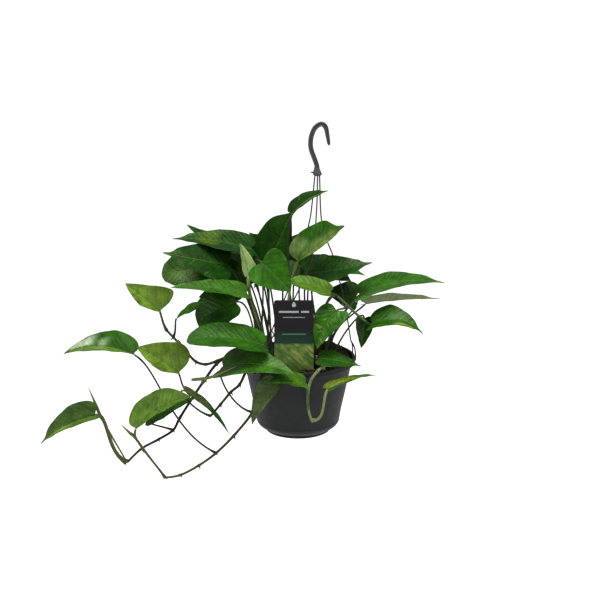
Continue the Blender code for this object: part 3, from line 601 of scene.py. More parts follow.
def leaf_surface(nodes):
    """Values that both sides of a blade share: distance from the midrib, vein phase, masks
    of the veins and the midrib, place on the flat blade, and blotches."""
    across, along, _ = nodes.separate(nodes.attribute("blade"))
    out = nodes.math("ABSOLUTE", across)
    wander = nodes.noise(nodes.combine(across, along, 0.0), 0.09, 2.0)
    sweep = nodes.times(out, VEIN_SWEEP)
    lead = nodes.math("SUBTRACT", along, sweep)
    phase = nodes.math("DIVIDE", lead, VEIN_PITCH)
    phase = nodes.plus(phase, nodes.times(wander, 1.3))
    ridge = nodes.math("PINGPONG", phase, 0.5)
    vein = nodes.span(ridge, 0.0, 0.16, 1.0, 0.0)
    rib = nodes.span(out, 0.25, 1.1, 1.0, 0.0)
    flat = nodes.combine(across, along, 0.0)
    return across, out, phase, ridge, vein, rib, flat, nodes.noise(flat, 0.12, 3.0)


def leaf_top():
    nodes = Nodes("leaf_upper_side", roughness=0.36, specular=0.24)
    nodes.shader.inputs["Specular Tint"].default_value = LEAF_GLOSS
    tone = nodes.attribute("tone", "Color")
    streak_strength = nodes.attribute("tone", "Alpha")
    across, out, phase, ridge, vein, rib, flat, blotch = leaf_surface(nodes)
    fine = nodes.noise(flat, 0.9, 2.0)
    broad = nodes.noise(flat, 0.035, 2.0)
    colour = nodes.vary(tone, blotch, 0.25, 0.75, 0.76, 1.24)
    colour = nodes.vary(colour, broad, 0.3, 0.7, 0.66, 1.36)
    colour = nodes.vary(colour, fine, 0.3, 0.7, 0.93, 1.07)
    # paler flesh beside the side veins
    colour = nodes.vary(colour, vein, 0.0, 1.0, 0.97, 1.28)
    # streaks and flecks that run with the veins
    run = nodes.combine(nodes.times(phase, 1.7),
                        nodes.times(out, 0.07), nodes.math("SIGN", across))
    streak = nodes.noise(run, 1.0, 4.0, 0.65)
    gate = nodes.span(streak_strength, 0.0, 1.0, 0.82, 0.42)
    above = nodes.math("SUBTRACT", streak, gate)
    streaks = nodes.span(above, 0.0, 0.1)
    colour = nodes.mix(nodes.times(streaks, 0.6), colour, (0.2, 0.3, 0.06))
    # midrib
    colour = nodes.mix(nodes.times(rib, 0.35), colour, (0.1, 0.2, 0.03))
    nodes.colour(colour)
    nodes.rough(nodes.span(blotch, 0.2, 0.8, 0.3, 0.44))
    groove = nodes.times(rib, -0.8)
    quilt = nodes.times(ridge, 0.55)
    height = nodes.plus(groove, quilt)
    height = nodes.plus(height, nodes.times(fine, 0.25))
    nodes.bump(height, 0.0007, 0.9)
    return nodes.material


def leaf_under():
    nodes = Nodes("leaf_underside", roughness=0.55, specular=0.22)
    tone = nodes.attribute("under", "Color")
    *_, vein, rib, _, blotch = leaf_surface(nodes)
    colour = nodes.vary(tone, blotch, 0.25, 0.75, 0.85, 1.15)
    colour = nodes.vary(colour, vein, 0.0, 1.0, 0.95, 1.18)
    colour = nodes.mix(nodes.times(rib, 0.5), colour, (0.16, 0.24, 0.07))
    nodes.colour(colour)
    height = nodes.plus(nodes.times(rib, 1.5),
                        nodes.times(vein, 0.5))
    nodes.bump(height, 0.0005, 0.8)
    return nodes.material


def stem_skin(name, roughness, streaks):
    """Skin of stems and petioles: its colour is painted on the points, with fine long streaks."""
    nodes = Nodes(name, roughness=roughness, specular=0.28)
    tone = nodes.attribute("tone", "Color")
    across, along, _ = nodes.separate(nodes.attribute("blade"))
    lengthwise = nodes.noise(nodes.combine(nodes.times(across, 3.0),
                                           nodes.times(along, 0.06), 0.0), 1.0, 3.0)
    spots = nodes.noise(nodes.place(), 900.0, 2.0)
    colour = nodes.vary(tone, lengthwise, 0.3, 0.7, 1 - streaks, 1 + streaks)
    colour = nodes.vary(colour, spots, 0.3, 0.7, 0.93, 1.07)
    nodes.colour(colour)
    nodes.bump(lengthwise, 0.0003, 0.6)
    return nodes.material


def moulded_plastic(name, colour, roughness, specular=0.32):
    """Matt moulded plastic: slight cloudiness, a fine moulded grain and faint scuffs."""
    nodes = Nodes(name, roughness=roughness, specular=specular)
    place = nodes.place()
    scuff = nodes.noise(place, 160.0, 5.0, 0.7)
    base = nodes.vary(colour, nodes.noise(place, 22.0, 3.0), 0.3, 0.7, 0.9, 1.1)
    base = nodes.mix(nodes.span(scuff, 0.62, 0.8, 0.0, 0.18), base, (0.08, 0.08, 0.085))
    nodes.colour(base)
    nodes.rough(nodes.span(scuff, 0.3, 0.7, roughness - 0.05, roughness + 0.1))
    nodes.bump(nodes.noise(place, 2500.0, 2.0), 0.00012, 0.6)
    return nodes.material


def peat():
    nodes = Nodes("peat", roughness=0.95, specular=0.25)
    place = nodes.place()
    lumps = nodes.noise(place, 240.0, 4.0, 0.7)
    fibres = nodes.noise(place, 900.0, 4.0, 0.8)
    colour = nodes.mix(nodes.span(lumps, 0.3, 0.7), (0.01, 0.007, 0.005), (0.05, 0.034, 0.022))
    colour = nodes.mix(nodes.span(fibres, 0.62, 0.78, 0.0, 0.7), colour, (0.12, 0.085, 0.05))
    nodes.colour(colour)
    nodes.bump(nodes.plus(lumps, fibres), 0.0012, 1.0)
    return nodes.material


def crumb(name, low, high):
    nodes = Nodes(name, roughness=0.9, specular=0.25)
    place = nodes.place()
    patch = nodes.noise(place, 700.0, 3.0)
    nodes.colour(nodes.mix(nodes.span(patch, 0.3, 0.7), low, high))
    nodes.bump(patch, 0.0006, 0.8)
    return nodes.material


def make_materials():
    return {
        "top": leaf_top(),
        "under": leaf_under(),
        "petiole": stem_skin("petiole_skin", 0.42, 0.1),
        "vine": stem_skin("vine_skin", 0.48, 0.22),
        "pot": moulded_plastic("pot_plastic", (0.004, 0.008, 0.006), 0.42, specular=0.34),
        "saucer": moulded_plastic("saucer_plastic", (0.004, 0.007, 0.006), 0.42, specular=0.34),
        "hook": moulded_plastic("hook_plastic", (0.052, 0.056, 0.055), 0.4),
        "strand": moulded_plastic("strand_plastic", (0.05, 0.034, 0.04), 0.42),
        "peat": peat(),
        "bark": crumb("bark_chip", (0.03, 0.018, 0.01), (0.09, 0.055, 0.03)),
        "perlite": crumb("perlite", (0.42, 0.4, 0.36), (0.7, 0.68, 0.62)),
    }


# ---- plant parts

def soil_height(x, y):
    """Height of the soil, mounded behind and to the right."""
    reach = min(1.0, sqrt(x * x + y * y) / INNER_R)
    away = (x - MOUND_AT[0]) ** 2 + (y - MOUND_AT[1]) ** 2
    mound = SOIL_MOUND * exp(-away / (2 * MOUND_SPREAD ** 2))
    return SOIL_LEVEL + (mound + 1.5) * (1 - reach ** 8)


def stem_way(name):
    """Way points of a stem, from its root in the soil."""
    (x, y), *rest = STEMS[name]
    return [vec(p) for p in [(x, y, soil_height(x, y) - 4.0)] + rest]


def petiole_root(root, aim):
    """Where a petiole starts, inside the stem or the soil, and the way it leaves."""
    if not isinstance(root[0], str):
        x, y = root
        start = np.array([x, y, soil_height(x, y) - 3.0])
        return start, unit(unit(aim - start) * 0.5 + np.array([0, 0, 1.0]))
    way = stem_way(root[0])
    index = root[1]
    along = unit(way[min(index + 1, len(way) - 1)] - way[index - 1])
    toward = unit(aim - way[index])
    if index == len(way) - 1 and np.dot(along, toward) > 0.5:
        return way[index] - along * 1.5, unit(along + toward)
    across = square_to(toward, along)
    return way[index], unit(across + along * 0.4)


SMOOTH_OUTLINES = {form: smooth_path([(x, *pair) for x, pair in zip(STATIONS, pairs)], 8)
                   for form, pairs in OUTLINES.items()}


def outline_at(form, x):
    """Place of the edge and half width of the blade at a place on the midrib."""
    smooth = SMOOTH_OUTLINES[form]
    return np.interp(x, smooth[:, 0], smooth[:, 1]), np.interp(x, smooth[:, 0], smooth[:, 2])


BLADE_PLACES = [0.0, 0.012, 0.03, 0.055, 0.085, 0.12, 0.16, 0.2, 0.245, 0.29, 0.34, 0.39, 0.44,
                0.49, 0.54, 0.59, 0.64, 0.69, 0.74, 0.785, 0.83, 0.87, 0.905, 0.935, 0.96, 0.98,
                0.992, 1.0]
ACROSS_PLACES = [0.0, 0.06, 0.16, 0.28, 0.4, 0.52, 0.64, 0.76, 0.87, 0.95, 0.985]


def ring_places():
    """Places round a blade's section: the upper side from edge to edge, then the lower side."""
    upper = [-u for u in reversed(ACROSS_PLACES)] + list(ACROSS_PLACES[1:])
    ring = [(-1.0, 0)] + [(u, 1) for u in upper] + [(1.0, 0)]
    ring += [(u, -1) for u in reversed(upper)]
    return ring


RING = ring_places()
UPPER_COUNT = 2 * len(ACROSS_PLACES)


def blade_point(axes, size, bend, x, y, u, lift):
    """A point of a folded, arched blade; x runs from base to tip in lengths."""
    base, along, side, up = axes
    length, right, left = size
    fold, arch, swing, droop = bend
    angle = radians(fold)
    across = y * (left if y > 0 else right)
    rise = abs(across) * sin(angle) * (0.72 + 0.28 * abs(u)) + 4 * arch * length * x * (1 - x)
    rise -= droop * length * max(0.0, x - 0.7) ** 2 / 0.09
    across = across * cos(angle) + 4 * swing * length * x * (1 - x)
    return base + along * x * length + side * across + up * (rise + lift)


def blade_relief(x, u, y_mm, length, ruffle, seed):
    """Lift of the surface: sunken midrib, soft swells between side veins, ruffled edge."""
    phase = (x * length - VEIN_SWEEP * abs(y_mm)) / (VEIN_PITCH * 1.6)
    swell = 0.09 * sin(2 * pi * phase) * (1 - abs(u) ** 2) * min(1.0, abs(u) * 5)
    swell += 0.9 * sin(2 * pi * (x * 1.6 + y_mm / 60 + seed)) * abs(u) * min(1.0, x * 5) * (1 - x)
    groove = -0.5 * exp(-(y_mm / 1.2) ** 2) * (1 - x)
    side = 1.0 if u > 0 else -1.0
    wave = sin(2 * pi * (x * 2.3 + seed) + side * 1.1) + 0.5 * sin(2 * pi * (x * 5.1 + 2 * seed) + side)
    edge = ruffle * abs(u) ** 3 * wave * min(1.0, x * 4) * min(1.0, (1 - x) * 4)
    return swell + groove + edge


def within(value, span, soft):
    """One inside the span, falling softly to zero beyond it."""
    inside = min(value - span[0], span[1] - value) / soft + 0.5
    return min(1.0, max(0.0, inside))


def patched(key, x, u, colour):
    """The colour with the leaf's patches, painted highlights among them, laid over it."""
    colour = np.array(colour)
    for along, across, patch in PATCHES_AND_HIGHLIGHTS.get(key, ()):
        share = within(x, along, 0.1) * within(u, across, 0.25)
        colour = colour + (np.array(patch) - colour) * share
    return colour


def make_leaf(index, key, spec, materials, node=None):
    """A leaf with its petiole; those without a node are the ones deep in the crown."""
    base, tip, width, face, fold, arch, swing, root = spec
    tone, streak, ruffle = STYLES.get(key, USUAL_STYLE if node else FILL_STYLE)
    droop = USUAL_DROOP if node and key not in STYLES else 0.0
    stout, stalk_tone = STALKS.get(key, USUAL_STALK)
    dry = key in DRY_TIPS
    base, tip, up = (vec(v) for v in (base, tip, face))
    length = np.linalg.norm(tip - base)
    along = unit(tip - base)
    up = square_to(up, along)
    side = np.cross(up, along)
    axes = (base, along, side, up)
    right, right_form, left, left_form = SIDES.get(key, (width / 2, "heart", width / 2, "heart"))
    size = (length, right, left)
    bend = (fold, arch, swing, droop)
    seed = (index * 0.618) % 1.0
    count = len(RING)

    start, lean = petiole_root(root, base)
    reach = np.linalg.norm(base - start)
    arrive = unit(along * 0.6 + up * 0.5)
    steps = max(10, int(reach / 6))
    path = bezier(start, start + lean * reach * 0.4, base - arrive * reach * 0.25,
                  base - arrive * 1.5, steps)
    frames = frames_along(path[::-1], side)[::-1]
    rings, tones, unders, blades = [], [], [], []
    for point, gone, (tangent, across, _) in zip(path, gone_along(path), frames):
        normal = np.cross(-tangent, across)
        share = gone / max(reach, 1.0)
        radius = PETIOLE_R * stout * (1.15 - 0.15 * share)
        radius *= 1.0 + 0.7 * exp(-gone / 5.0)                     # sheath at the foot
        radius *= 1.0 + 0.22 * exp(-((share - 0.95) / 0.05) ** 2)  # knuckle below the blade
        ring, row = [], []
        for k in range(count):
            angle = pi - 2 * pi * k / count
            flat = 0.86 if sin(angle) > 0 else 1.0
            ring.append(point + radius * (cos(angle) * across + flat * sin(angle) * normal))
            row.append((k * 0.4, gone, 0.0))
        rings.append(ring)
        blades.append(row)
        painted = [(*(c * (0.75 + 0.35 * share) for c in stalk_tone), 0.0)] * count
        tones.append(painted)
        unders.append(painted)
    stalk = len(rings)
    for x_mid in BLADE_PLACES:
        ring, row, tone_row, under_row = [], [], [], []
        for u, layer in RING:
            edge, half = outline_at(left_form if u > 0 else right_form, x_mid)
            if dry and x_mid > DRY_FROM:
                half *= 1 - DRY_WAIST * sin(pi * (x_mid - DRY_FROM) / (1 - DRY_FROM))
            top_tone, under_tone = LEFT_HALVES.get(key, tone) if u > 0.02 else tone
            top_tone = patched(key, x_mid, u, top_tone)
            wilt = min(1.0, max(0.0, (x_mid - 0.9) / 0.08)) * (0.9 if dry else 0.25)
            x = x_mid + (edge - x_mid) * abs(u) ** 1.6
            y = u * half
            thick = BLADE_T / 2 * (1 - 0.45 * abs(u)) * layer
            blend = exp(-x_mid / 0.012)
            thick = thick * (1 - blend) + PETIOLE_R * 0.8 * stout * layer * blend * (1 - abs(u) ** 2)
            if x_mid > 0.95:
                thick *= 0.5
            y_mm = y * (left if y > 0 else right)
            relief = blade_relief(x, u, y_mm, length, ruffle, seed) * (1 - blend)
            ring.append(blade_point(axes, size, bend, x, y, u, thick + relief))
            row.append((y_mm, x * length + 40 * seed, u))
            tone_row.append((*(top_tone + (DRY - top_tone) * wilt), streak))
            under_row.append((*(under_tone + (DRY - under_tone) * wilt), 0.0))
        rings.append(ring)
        blades.append(row)
        tones.append(tone_row)
        unders.append(under_row)

    def strip_material(r, k):
        return 2 if r < stalk else 0 if k < UPPER_COUNT else 1

    skin = Skin(rings, tones=tones, blades=blades, materials=strip_material)
    piece = add_piece(key + "_leaf", skin,
                      [materials["top"], materials["under"], materials["petiole"]], node,
                      sharp=62.0)
    under = piece.data.attributes.new("under", "FLOAT_COLOR", "POINT")
    under.data.foreach_set("color", np.array(unders, dtype=np.float32).ravel())


STEM_TONES = {
    "vine_long": ((0.009, 0.016, 0.005), (0.05, 0.07, 0.02)),
    "vine_mid": ((0.009, 0.016, 0.005), (0.014, 0.022, 0.008)),
    "vine_short": ((0.01, 0.018, 0.006), (0.04, 0.055, 0.018)),
    "vine_high": ((0.02, 0.034, 0.008), (0.034, 0.052, 0.014)),
    "vine_front": ((0.17, 0.22, 0.085), (0.2, 0.25, 0.095)),
    "stem_crown": ((0.02, 0.036, 0.008), (0.03, 0.055, 0.012)),
    "stem_arch": ((0.06, 0.11, 0.018), (0.075, 0.13, 0.022)),
}
BROWN = np.array([0.06, 0.04, 0.02])
HUSK = (0.17, 0.13, 0.06)
HUSKS = {"vine_high": (7,), "vine_mid": (4,)}       # nodes with a dry husk
SPUR_LENGTH = 4.5


def add_spurs(skin, name, path, steps):
    """Stubs of aerial roots below the nodes, and a dry husk round some of them."""
    rng = np.random.default_rng(RANDOM_SEED + len(name))
    for at in range(2 * steps, len(path) - 2, steps):
        along = unit(path[at + 1] - path[at - 1])
        out = unit(np.array([rng.uniform(-0.5, 0.5), rng.uniform(-0.7, 0.2), -1.0]))
        out = unit(out - along * np.dot(out, along) * 0.8)
        length = SPUR_LENGTH * rng.uniform(0.7, 1.3)
        way = [path[at], path[at] + out * length * 0.55,
               path[at] + out * length * 0.8 + along * 0.5, path[at] + out * length + along * 1.2]
        rings = tube_rings(np.array(way), [1.1, 0.9, 0.6, 0.15], 8)
        skin.loft(rings, tones=[[(*BROWN * 0.6, 0.0)] * 8] * 4)
        if at // steps in HUSKS.get(name, ()):
            way = [path[at] - along * 3.0, path[at] + along * 1.0, path[at] + along * 5.0,
                   path[at] + along * 8.0 + out * 1.5]
            rings = tube_rings(np.array(way), [STEM_R * 1.05, STEM_R * 1.4, STEM_R * 1.2, 0.3], 12)
            skin.loft(rings, tones=[[(*HUSK, 0.0)] * 12] * 4)


def make_stem(name, materials):
    way = stem_way(name)
    steps = 10
    path = smooth_path(way, steps)
    sides = 16
    side = np.cross(path[1] - path[0], (0.2, 0.9, 0.1))
    first, last = (np.array(c) for c in STEM_TONES[name])
    radii, tones, blades = [], [], []
    for i, gone in enumerate(gone_along(path)):
        share = i / (len(path) - 1)
        near = min(i % steps, steps - i % steps)            # steps to the nearest node
        at_node = exp(-(near / 0.9) ** 2) if 0 < i < len(path) - 1 else 0.0
        below = exp(-((i % steps - 1.5) / 1.2) ** 2)
        radii.append(STEM_R * (1.0 - 0.22 * share) * (0.94 + 0.24 * at_node + 0.05 * below))
        colour = first + (last - first) * share
        colour = colour + (BROWN - colour) * 0.55 * at_node
        tones.append([(*colour, 0.0)] * sides)
        blades.append([(k * 0.8, gone, 0.0) for k in range(sides)])
    skin = Skin(tube_rings(path, radii, sides, side), tones=tones, blades=blades)
    if name.startswith("vine"):
        add_spurs(skin, name, path, steps)
    add_piece(name + "_skin", skin, [materials["vine"]], name)


def make_spear(name, spec, materials):
    """A new leaf still rolled: a tapering spear with the edge of the blade wound round it."""
    points = [vec(p) for p in spec[1:]]
    path = smooth_path([petiole_root(spec[0], points[0])[0], *points], 9)
    sizes = np.array([0.55, 0.6, 0.65, 0.8, 1.0, 1.0, 0.85, 0.62, 0.36, 0.06])
    places = np.linspace(0, len(sizes) - 1, len(path))
    radii = SPEAR_R * np.interp(places, np.arange(len(sizes)), sizes)
    sides = 24
    rings, tones, blades = [], [], []
    for i, (point, radius, gone, axes) in enumerate(
            zip(path, radii, gone_along(path), frames_along(path, FIRST_SIDE))):
        share = i / (len(path) - 1)
        ring, row = [], []
        for angle, c, s in circle(sides):
            wound = ((angle - 5.0 * share) % (2 * pi)) / (2 * pi)
            step = 1.0 + 0.16 * wound * min(1.0, share * 4)
            ring.append(point + radius * step * (c * axes[1] + s * axes[2]))
            # painted shade: the rolled blade is darker where it tucks in under the wound edge,
            # brightening towards that edge
            dark = 0.8 + 0.35 * wound
            row.append((0.12 * dark, 0.18 * dark, 0.04 * dark, 0.0))
        rings.append(ring)
        tones.append(row)
        blades.append([(k * 0.5, gone, 0.0) for k in range(sides)])
    skin = Skin(rings, tones=tones, blades=blades)
    add_piece(name.replace("new_leaf", "rolled_leaf"), skin, [materials["petiole"]],
              name)


# ---- made things

def turned(profile, segments=TURN_SEGMENTS):
    """Rings of a turned solid whose profile starts and ends close to the axis."""
    return [[(radius * c, radius * s, height) for _, c, s in circle(segments)]
            for radius, height in profile]


def rounded(corners, radius, steps=4):
    """A profile whose inner corners are rounded with short arcs."""
    points = [vec(c) for c in corners]
    out = [points[0]]
    for a, b, c in zip(points, points[1:], points[2:]):
        reach = min(radius, np.linalg.norm(b - a) * 0.45, np.linalg.norm(c - b) * 0.45)
        start = b + unit(a - b) * reach
        end = b + unit(c - b) * reach
        for i in range(steps + 1):
            t = i / steps
            out.append((1 - t) ** 2 * start + 2 * (1 - t) * t * b + t * t * end)
    return [tuple(point) for point in out + [points[-1]]]


def heel_line(step):
    """Foot and rounded heel of the pot, set in by a step."""
    foot = SAUCER_FLOOR + GAP + step
    heel = SAUCER_H + GAP + step
    line = [(FOOT_R - step, foot), (FOOT_R - step, heel)]
    for i in range(1, 13):
        angle = radians(90 * i / 12)
        line.append((FOOT_R - step + HEEL_SPREAD * sin(angle), heel + HEEL_RISE * (1 - cos(angle))))
    return line


def wall_line():
    """Outer face of the wall above the heel, flaring faster near its foot."""
    low_r, low_z = heel_line(0)[-1]
    high_r = POT_RIM_R - RIM_LIP
    high_z = POT_HEIGHT - RIM_DEPTH
    line = [(low_r + (high_r - low_r) * out, low_z + (high_z - low_z) * up) for out, up in FLARE]
    return line + [(high_r, high_z)]


def make_pot(materials):
    outer, inner, wall = heel_line(0), heel_line(POT_WALL), wall_line()
    flare = [tuple(point) for point in smooth_path(outer[2:] + wall, 4)]
    rim = [flare[-1], (POT_RIM_R, POT_HEIGHT - RIM_DEPTH), (POT_RIM_R, POT_HEIGHT),
           (POT_RIM_R - RIM_TOP, POT_HEIGHT), (POT_RIM_R - RIM_TOP - 0.4, POT_HEIGHT - 4.0),
           (INNER_R, POT_HEIGHT - RIM_DEPTH)]
    profile = rounded([(AXIS_R, outer[0][1]), outer[0], outer[1]], 0.6) + flare
    profile += rounded(rim, 0.9)[1:] + [(r - POT_WALL, z) for r, z in wall[-2::-1]]
    profile += inner[::-1] + [(AXIS_R, inner[0][1])]
    skin = Skin(turned(profile))
    add_piece("pot_body", skin, [materials["pot"]], "pot", sharp=38.0)


def make_saucer(materials):
    inside = SAUCER_R - SAUCER_WALL
    corners = [(AXIS_R, 0.0), (SAUCER_R - 1.4, 0.0), (SAUCER_R, 1.0), (SAUCER_R, SAUCER_H),
               (inside, SAUCER_H), (inside, SAUCER_FLOOR), (AXIS_R, SAUCER_FLOOR)]
    skin = Skin(turned(rounded(corners, 0.5)))
    add_piece("saucer_dish", skin, [materials["saucer"]], "drip_saucer", sharp=38.0)


def add_grain(skin, rng, at, size):
    """A rough crumb: a squashed, turned eight-sided nugget."""
    axes = [unit(rng.normal(size=3)) for _ in range(3)]
    axes[1] = square_to(axes[1], axes[0])
    axes[2] = np.cross(axes[0], axes[1])
    reach = size * np.array([1.5, 1.0, 0.7]) * rng.uniform(0.7, 1.2, 3)
    rings = []
    for level in (-0.75, 0.0, 0.75):
        wide = sqrt(1 - level * level)
        ring = []
        for k in range(6):
            angle = pi * k / 3 + 0.5 * level
            bulge = wide * rng.uniform(0.75, 1.1)
            ring.append(at + axes[0] * reach[0] * level + axes[1] * reach[1] * bulge * cos(angle)
                        + axes[2] * reach[2] * bulge * sin(angle))
        rings.append(ring)
    skin.loft(rings)


def make_soil(materials):
    rng = np.random.default_rng(RANDOM_SEED)
    edge = INNER_R - 0.1
    bottom = SOIL_LEVEL - 14.0
    skin = Skin()
    segments = 120
    rings = turned(((1.0, bottom), (edge - 2.0, bottom), (edge, bottom + 2.0)), segments)
    rows = 46
    lumps = rng.normal(size=(rows + 1, segments))
    for _ in range(2):
        lumps = (lumps + np.roll(lumps, 1, 1) + np.roll(lumps, -1, 1)
                 + np.roll(lumps, 1, 0) + np.roll(lumps, -1, 0)) / 3.2
    for i in range(rows + 1):
        share = 1 - i / rows
        radius = max(edge * share ** 0.8, 0.6)
        ring = []
        for k, (_, c, s) in enumerate(circle(segments)):
            x, y = radius * c, radius * s
            rough = lumps[i, k] * 0.9 * min(1.0, (1 - share) * 12) * min(1.0, radius / 14)
            ring.append((x, y, soil_height(x, y) - 0.6 + rough))
        rings.append(ring)
    skin.loft(rings)
    add_piece("soil_bed", skin, [materials["peat"]], "soil", sharp=60.0)
    for name, count, low, high, material in (("peat_crumbs", 620, 0.7, 2.0, "peat"),
                                             ("bark_chips", 110, 1.0, 2.4, "bark"),
                                             ("perlite_grains", 46, 0.6, 1.3, "perlite")):
        grains = Skin()
        for _ in range(count):
            angle = rng.uniform(0, 2 * pi)
            radius = (edge - 3.0) * sqrt(rng.uniform(0, 1))
            x, y = radius * cos(angle), radius * sin(angle)
            size = rng.uniform(low, high)
            add_grain(grains, rng, np.array([x, y, soil_height(x, y) + size * 0.2]), size)
        add_piece(name, grains, [materials[material]], sharp=35.0)


HOOK_CHANNEL = 1.3        # depth of the channel along both faces of the hook


def make_hook(materials):
    path = smooth_path(HOOK_PATH, 8)
    last = len(path) - 1
    sides = 36
    rings = []
    for i, (point, axes) in enumerate(zip(path, frames_along(path, (1, 0, 0)))):
        slim = 1.0 - 0.35 * max(0.0, (i - last + 16) / 16.0)
        if i > last - 3:
            slim *= (1.0, 0.96, 0.82, 0.5)[i - last + 3]
        half, deep = HOOK_W / 2 * slim, HOOK_T / 2 * slim
        ring = []
        for _, c, s in circle(sides):
            square = (abs(c) ** 3.2 + abs(s) ** 3.2) ** (-1 / 3.2)
            sunk = HOOK_CHANNEL * slim * within(abs(c * square), (0.0, 0.55), 0.25)
            depth = max(0.3, abs(deep * s * square) - sunk)
            ring.append(point + axes[1] * half * c * square
                        + axes[2] * (depth if s > 0 else -depth))
        rings.append(ring)
    skin = Skin(rings)
    x, y, z = COLLAR_AT
    levels = [(0.0, 0.7), (0.4, 0.8), (1.2, 1.0), (1.8, 1.04), (4.0, 1.0), (4.6, 0.94),
              (8.5, 0.72), (COLLAR_H, 0.6)]
    skin.loft([[(x - 0.1 * height + COLLAR_R * size * c, y + COLLAR_R * size * s, z + height)
                for _, c, s in circle(28)] for height, size in levels])
    nib = smooth_path([(x - 3.0, y, z + 4.6), (x - 6.5, y, z + 4.2), (x - 9.2, y, z + 4.8)], 3)
    skin.loft(tube_rings(nib, [1.5, 1.4, 1.25, 1.1, 0.9, 0.7, 0.3], 12))
    add_piece("hook_body", skin, [materials["hook"]], "hook", sharp=40.0)


def rim_point(angle, radius, height):
    around = radians(angle)
    return (radius * cos(around), radius * sin(around), height)


def make_strand(name, materials):
    angle, way = STRANDS[name]
    out = POT_RIM_R + GAP + STRAND_R + 0.1
    under = POT_HEIGHT - RIM_DEPTH - GAP - STRAND_R - 0.1
    fork = rim_point(angle, POT_RIM_R - 3.5, POT_HEIGHT + CLIP_RISE)
    top = (way[0][0], way[0][1], COLLAR_AT[2] + 1.5)
    path = smooth_path([top] + way[1:] + [fork], 10)
    skin = Skin(tube_rings(path, [STRAND_R] * len(path), 12))
    leg = ((1, 3.0, under), (1, 0.5, under), (1, 0, under + 1.5), (1, 0, POT_HEIGHT - 1.0),
           (0.85, 0.8, POT_HEIGHT + 7.0), (0.45, 2.6, POT_HEIGHT + 12.5))
    legs = [[rim_point(angle + side * CLIP_HALF_ANGLE * spread, out - inset, height)
             for spread, inset, height in leg] for side in (1, -1)]
    path = smooth_path(legs[0] + [fork] + list(reversed(legs[1])), 5)
    skin.loft(tube_rings(path, [STRAND_R] * len(path), 12))
    add_piece(name + "_line", skin, [materials["strand"]], name)


# ---- label

def label_print():
    """Printed face: black, fading to a dark green, then a leaf print."""
    nodes = Nodes("label_print", roughness=0.42, specular=0.25)
    across, height, _ = nodes.separate(nodes.attribute("blade"))
    flat = nodes.combine(across, height, 0.0)
    black = (0.008, 0.008, 0.011)
    fade = nodes.span(height, 60.0, 42.0)
    colour = nodes.mix(fade, black, (0.008, 0.034, 0.018))
    # leaf print: soft streaks that slant down to the right, yellow to orange on green
    slant = nodes.plus(across, height)
    cross = nodes.math("SUBTRACT", height, nodes.times(across, 1.3))
    streak = nodes.noise(nodes.combine(nodes.times(slant, 0.16),
                                       nodes.times(cross, 0.03), 2.0), 1.0, 4.0, 0.6)
    patch = nodes.noise(flat, 0.07, 3.0)
    yellow = nodes.times(nodes.span(streak, 0.34, 0.7), nodes.span(patch, 0.3, 0.56))
    green = nodes.mix(yellow, (0.04, 0.125, 0.02), (0.33, 0.38, 0.09))
    warm = nodes.noise(flat, 0.11, 2.0)
    green = nodes.mix(nodes.times(nodes.span(warm, 0.55, 0.7, 0.0, 0.5), yellow),
                      green, (0.42, 0.23, 0.06))
    print_mask = nodes.span(height, 39.5, 35.5)
    colour = nodes.mix(print_mask, colour, green)
    nodes.colour(colour)
    return nodes.material


def label_place(u, height, depth):
    """A point of the leaning label: u across from its middle, height over the soil line."""
    lean = radians(LABEL_LEAN)
    return (LABEL_AT[0] + u, LABEL_AT[1] + depth * cos(lean) - height * sin(lean),
            SOIL_LEVEL + depth * sin(lean) + height * cos(lean))


def label_outline():
    half, stake = LABEL_W / 2, STAKE_W / 2
    foot, top = LABEL_FOOT - SOIL_LEVEL, LABEL_TOP - SOIL_LEVEL
    low = STAKE_END - SOIL_LEVEL
    corners = [(0, low), (stake * 0.25, low), (stake, low + 7), (stake, foot), (half, foot),
               (half, top), (-half, top), (-half, foot), (-stake, foot), (-stake, low + 7),
               (-stake * 0.25, low), (0, low)]
    return rounded(corners, 3.0, 5)[:-1]


def slab(skin, outline, front, back):
    """A flat plate of that outline between two depths, with a small edge bevel."""
    bevel = min(0.12, abs(back - front) * 0.3)
    centre = np.mean(np.array(outline), axis=0)
    rings, blades = [], []
    for depth, inset in ((front, bevel), (front + bevel, 0.0), (back - bevel, 0.0), (back, bevel)):
        ring, row = [], []
        for u, h in outline:
            pull = 1 - inset / max(np.hypot(u - centre[0], h - centre[1]), 1.0)
            u2, h2 = centre[0] + (u - centre[0]) * pull, centre[1] + (h - centre[1]) * pull
            ring.append(label_place(u2, h2, depth))
            row.append((u2, h2, 0.0))
        rings.append(ring)
        blades.append(row)
    skin.loft(rings, blades=blades)


def bar(u0, u1, h0, h1):
    return [(u0, h0), (u1, h0), (u1, h1), (u0, h1)]


def add_print(name, ink_name, dim, bright, outlines):
    """Marks of one ink, laid on the face of the label."""
    ink = Nodes(ink_name, roughness=0.45)
    shade = ink.noise(ink.place(), 900.0, 2.0)
    ink.colour(ink.mix(ink.span(shade, 0.3, 0.7), dim, bright))
    marks = Skin()
    for outline in outlines:
        slab(marks, outline, -LABEL_T / 2 - INK_T, -LABEL_T / 2 + 0.02)
    add_piece(name, marks, [ink.material], sharp=30.0)


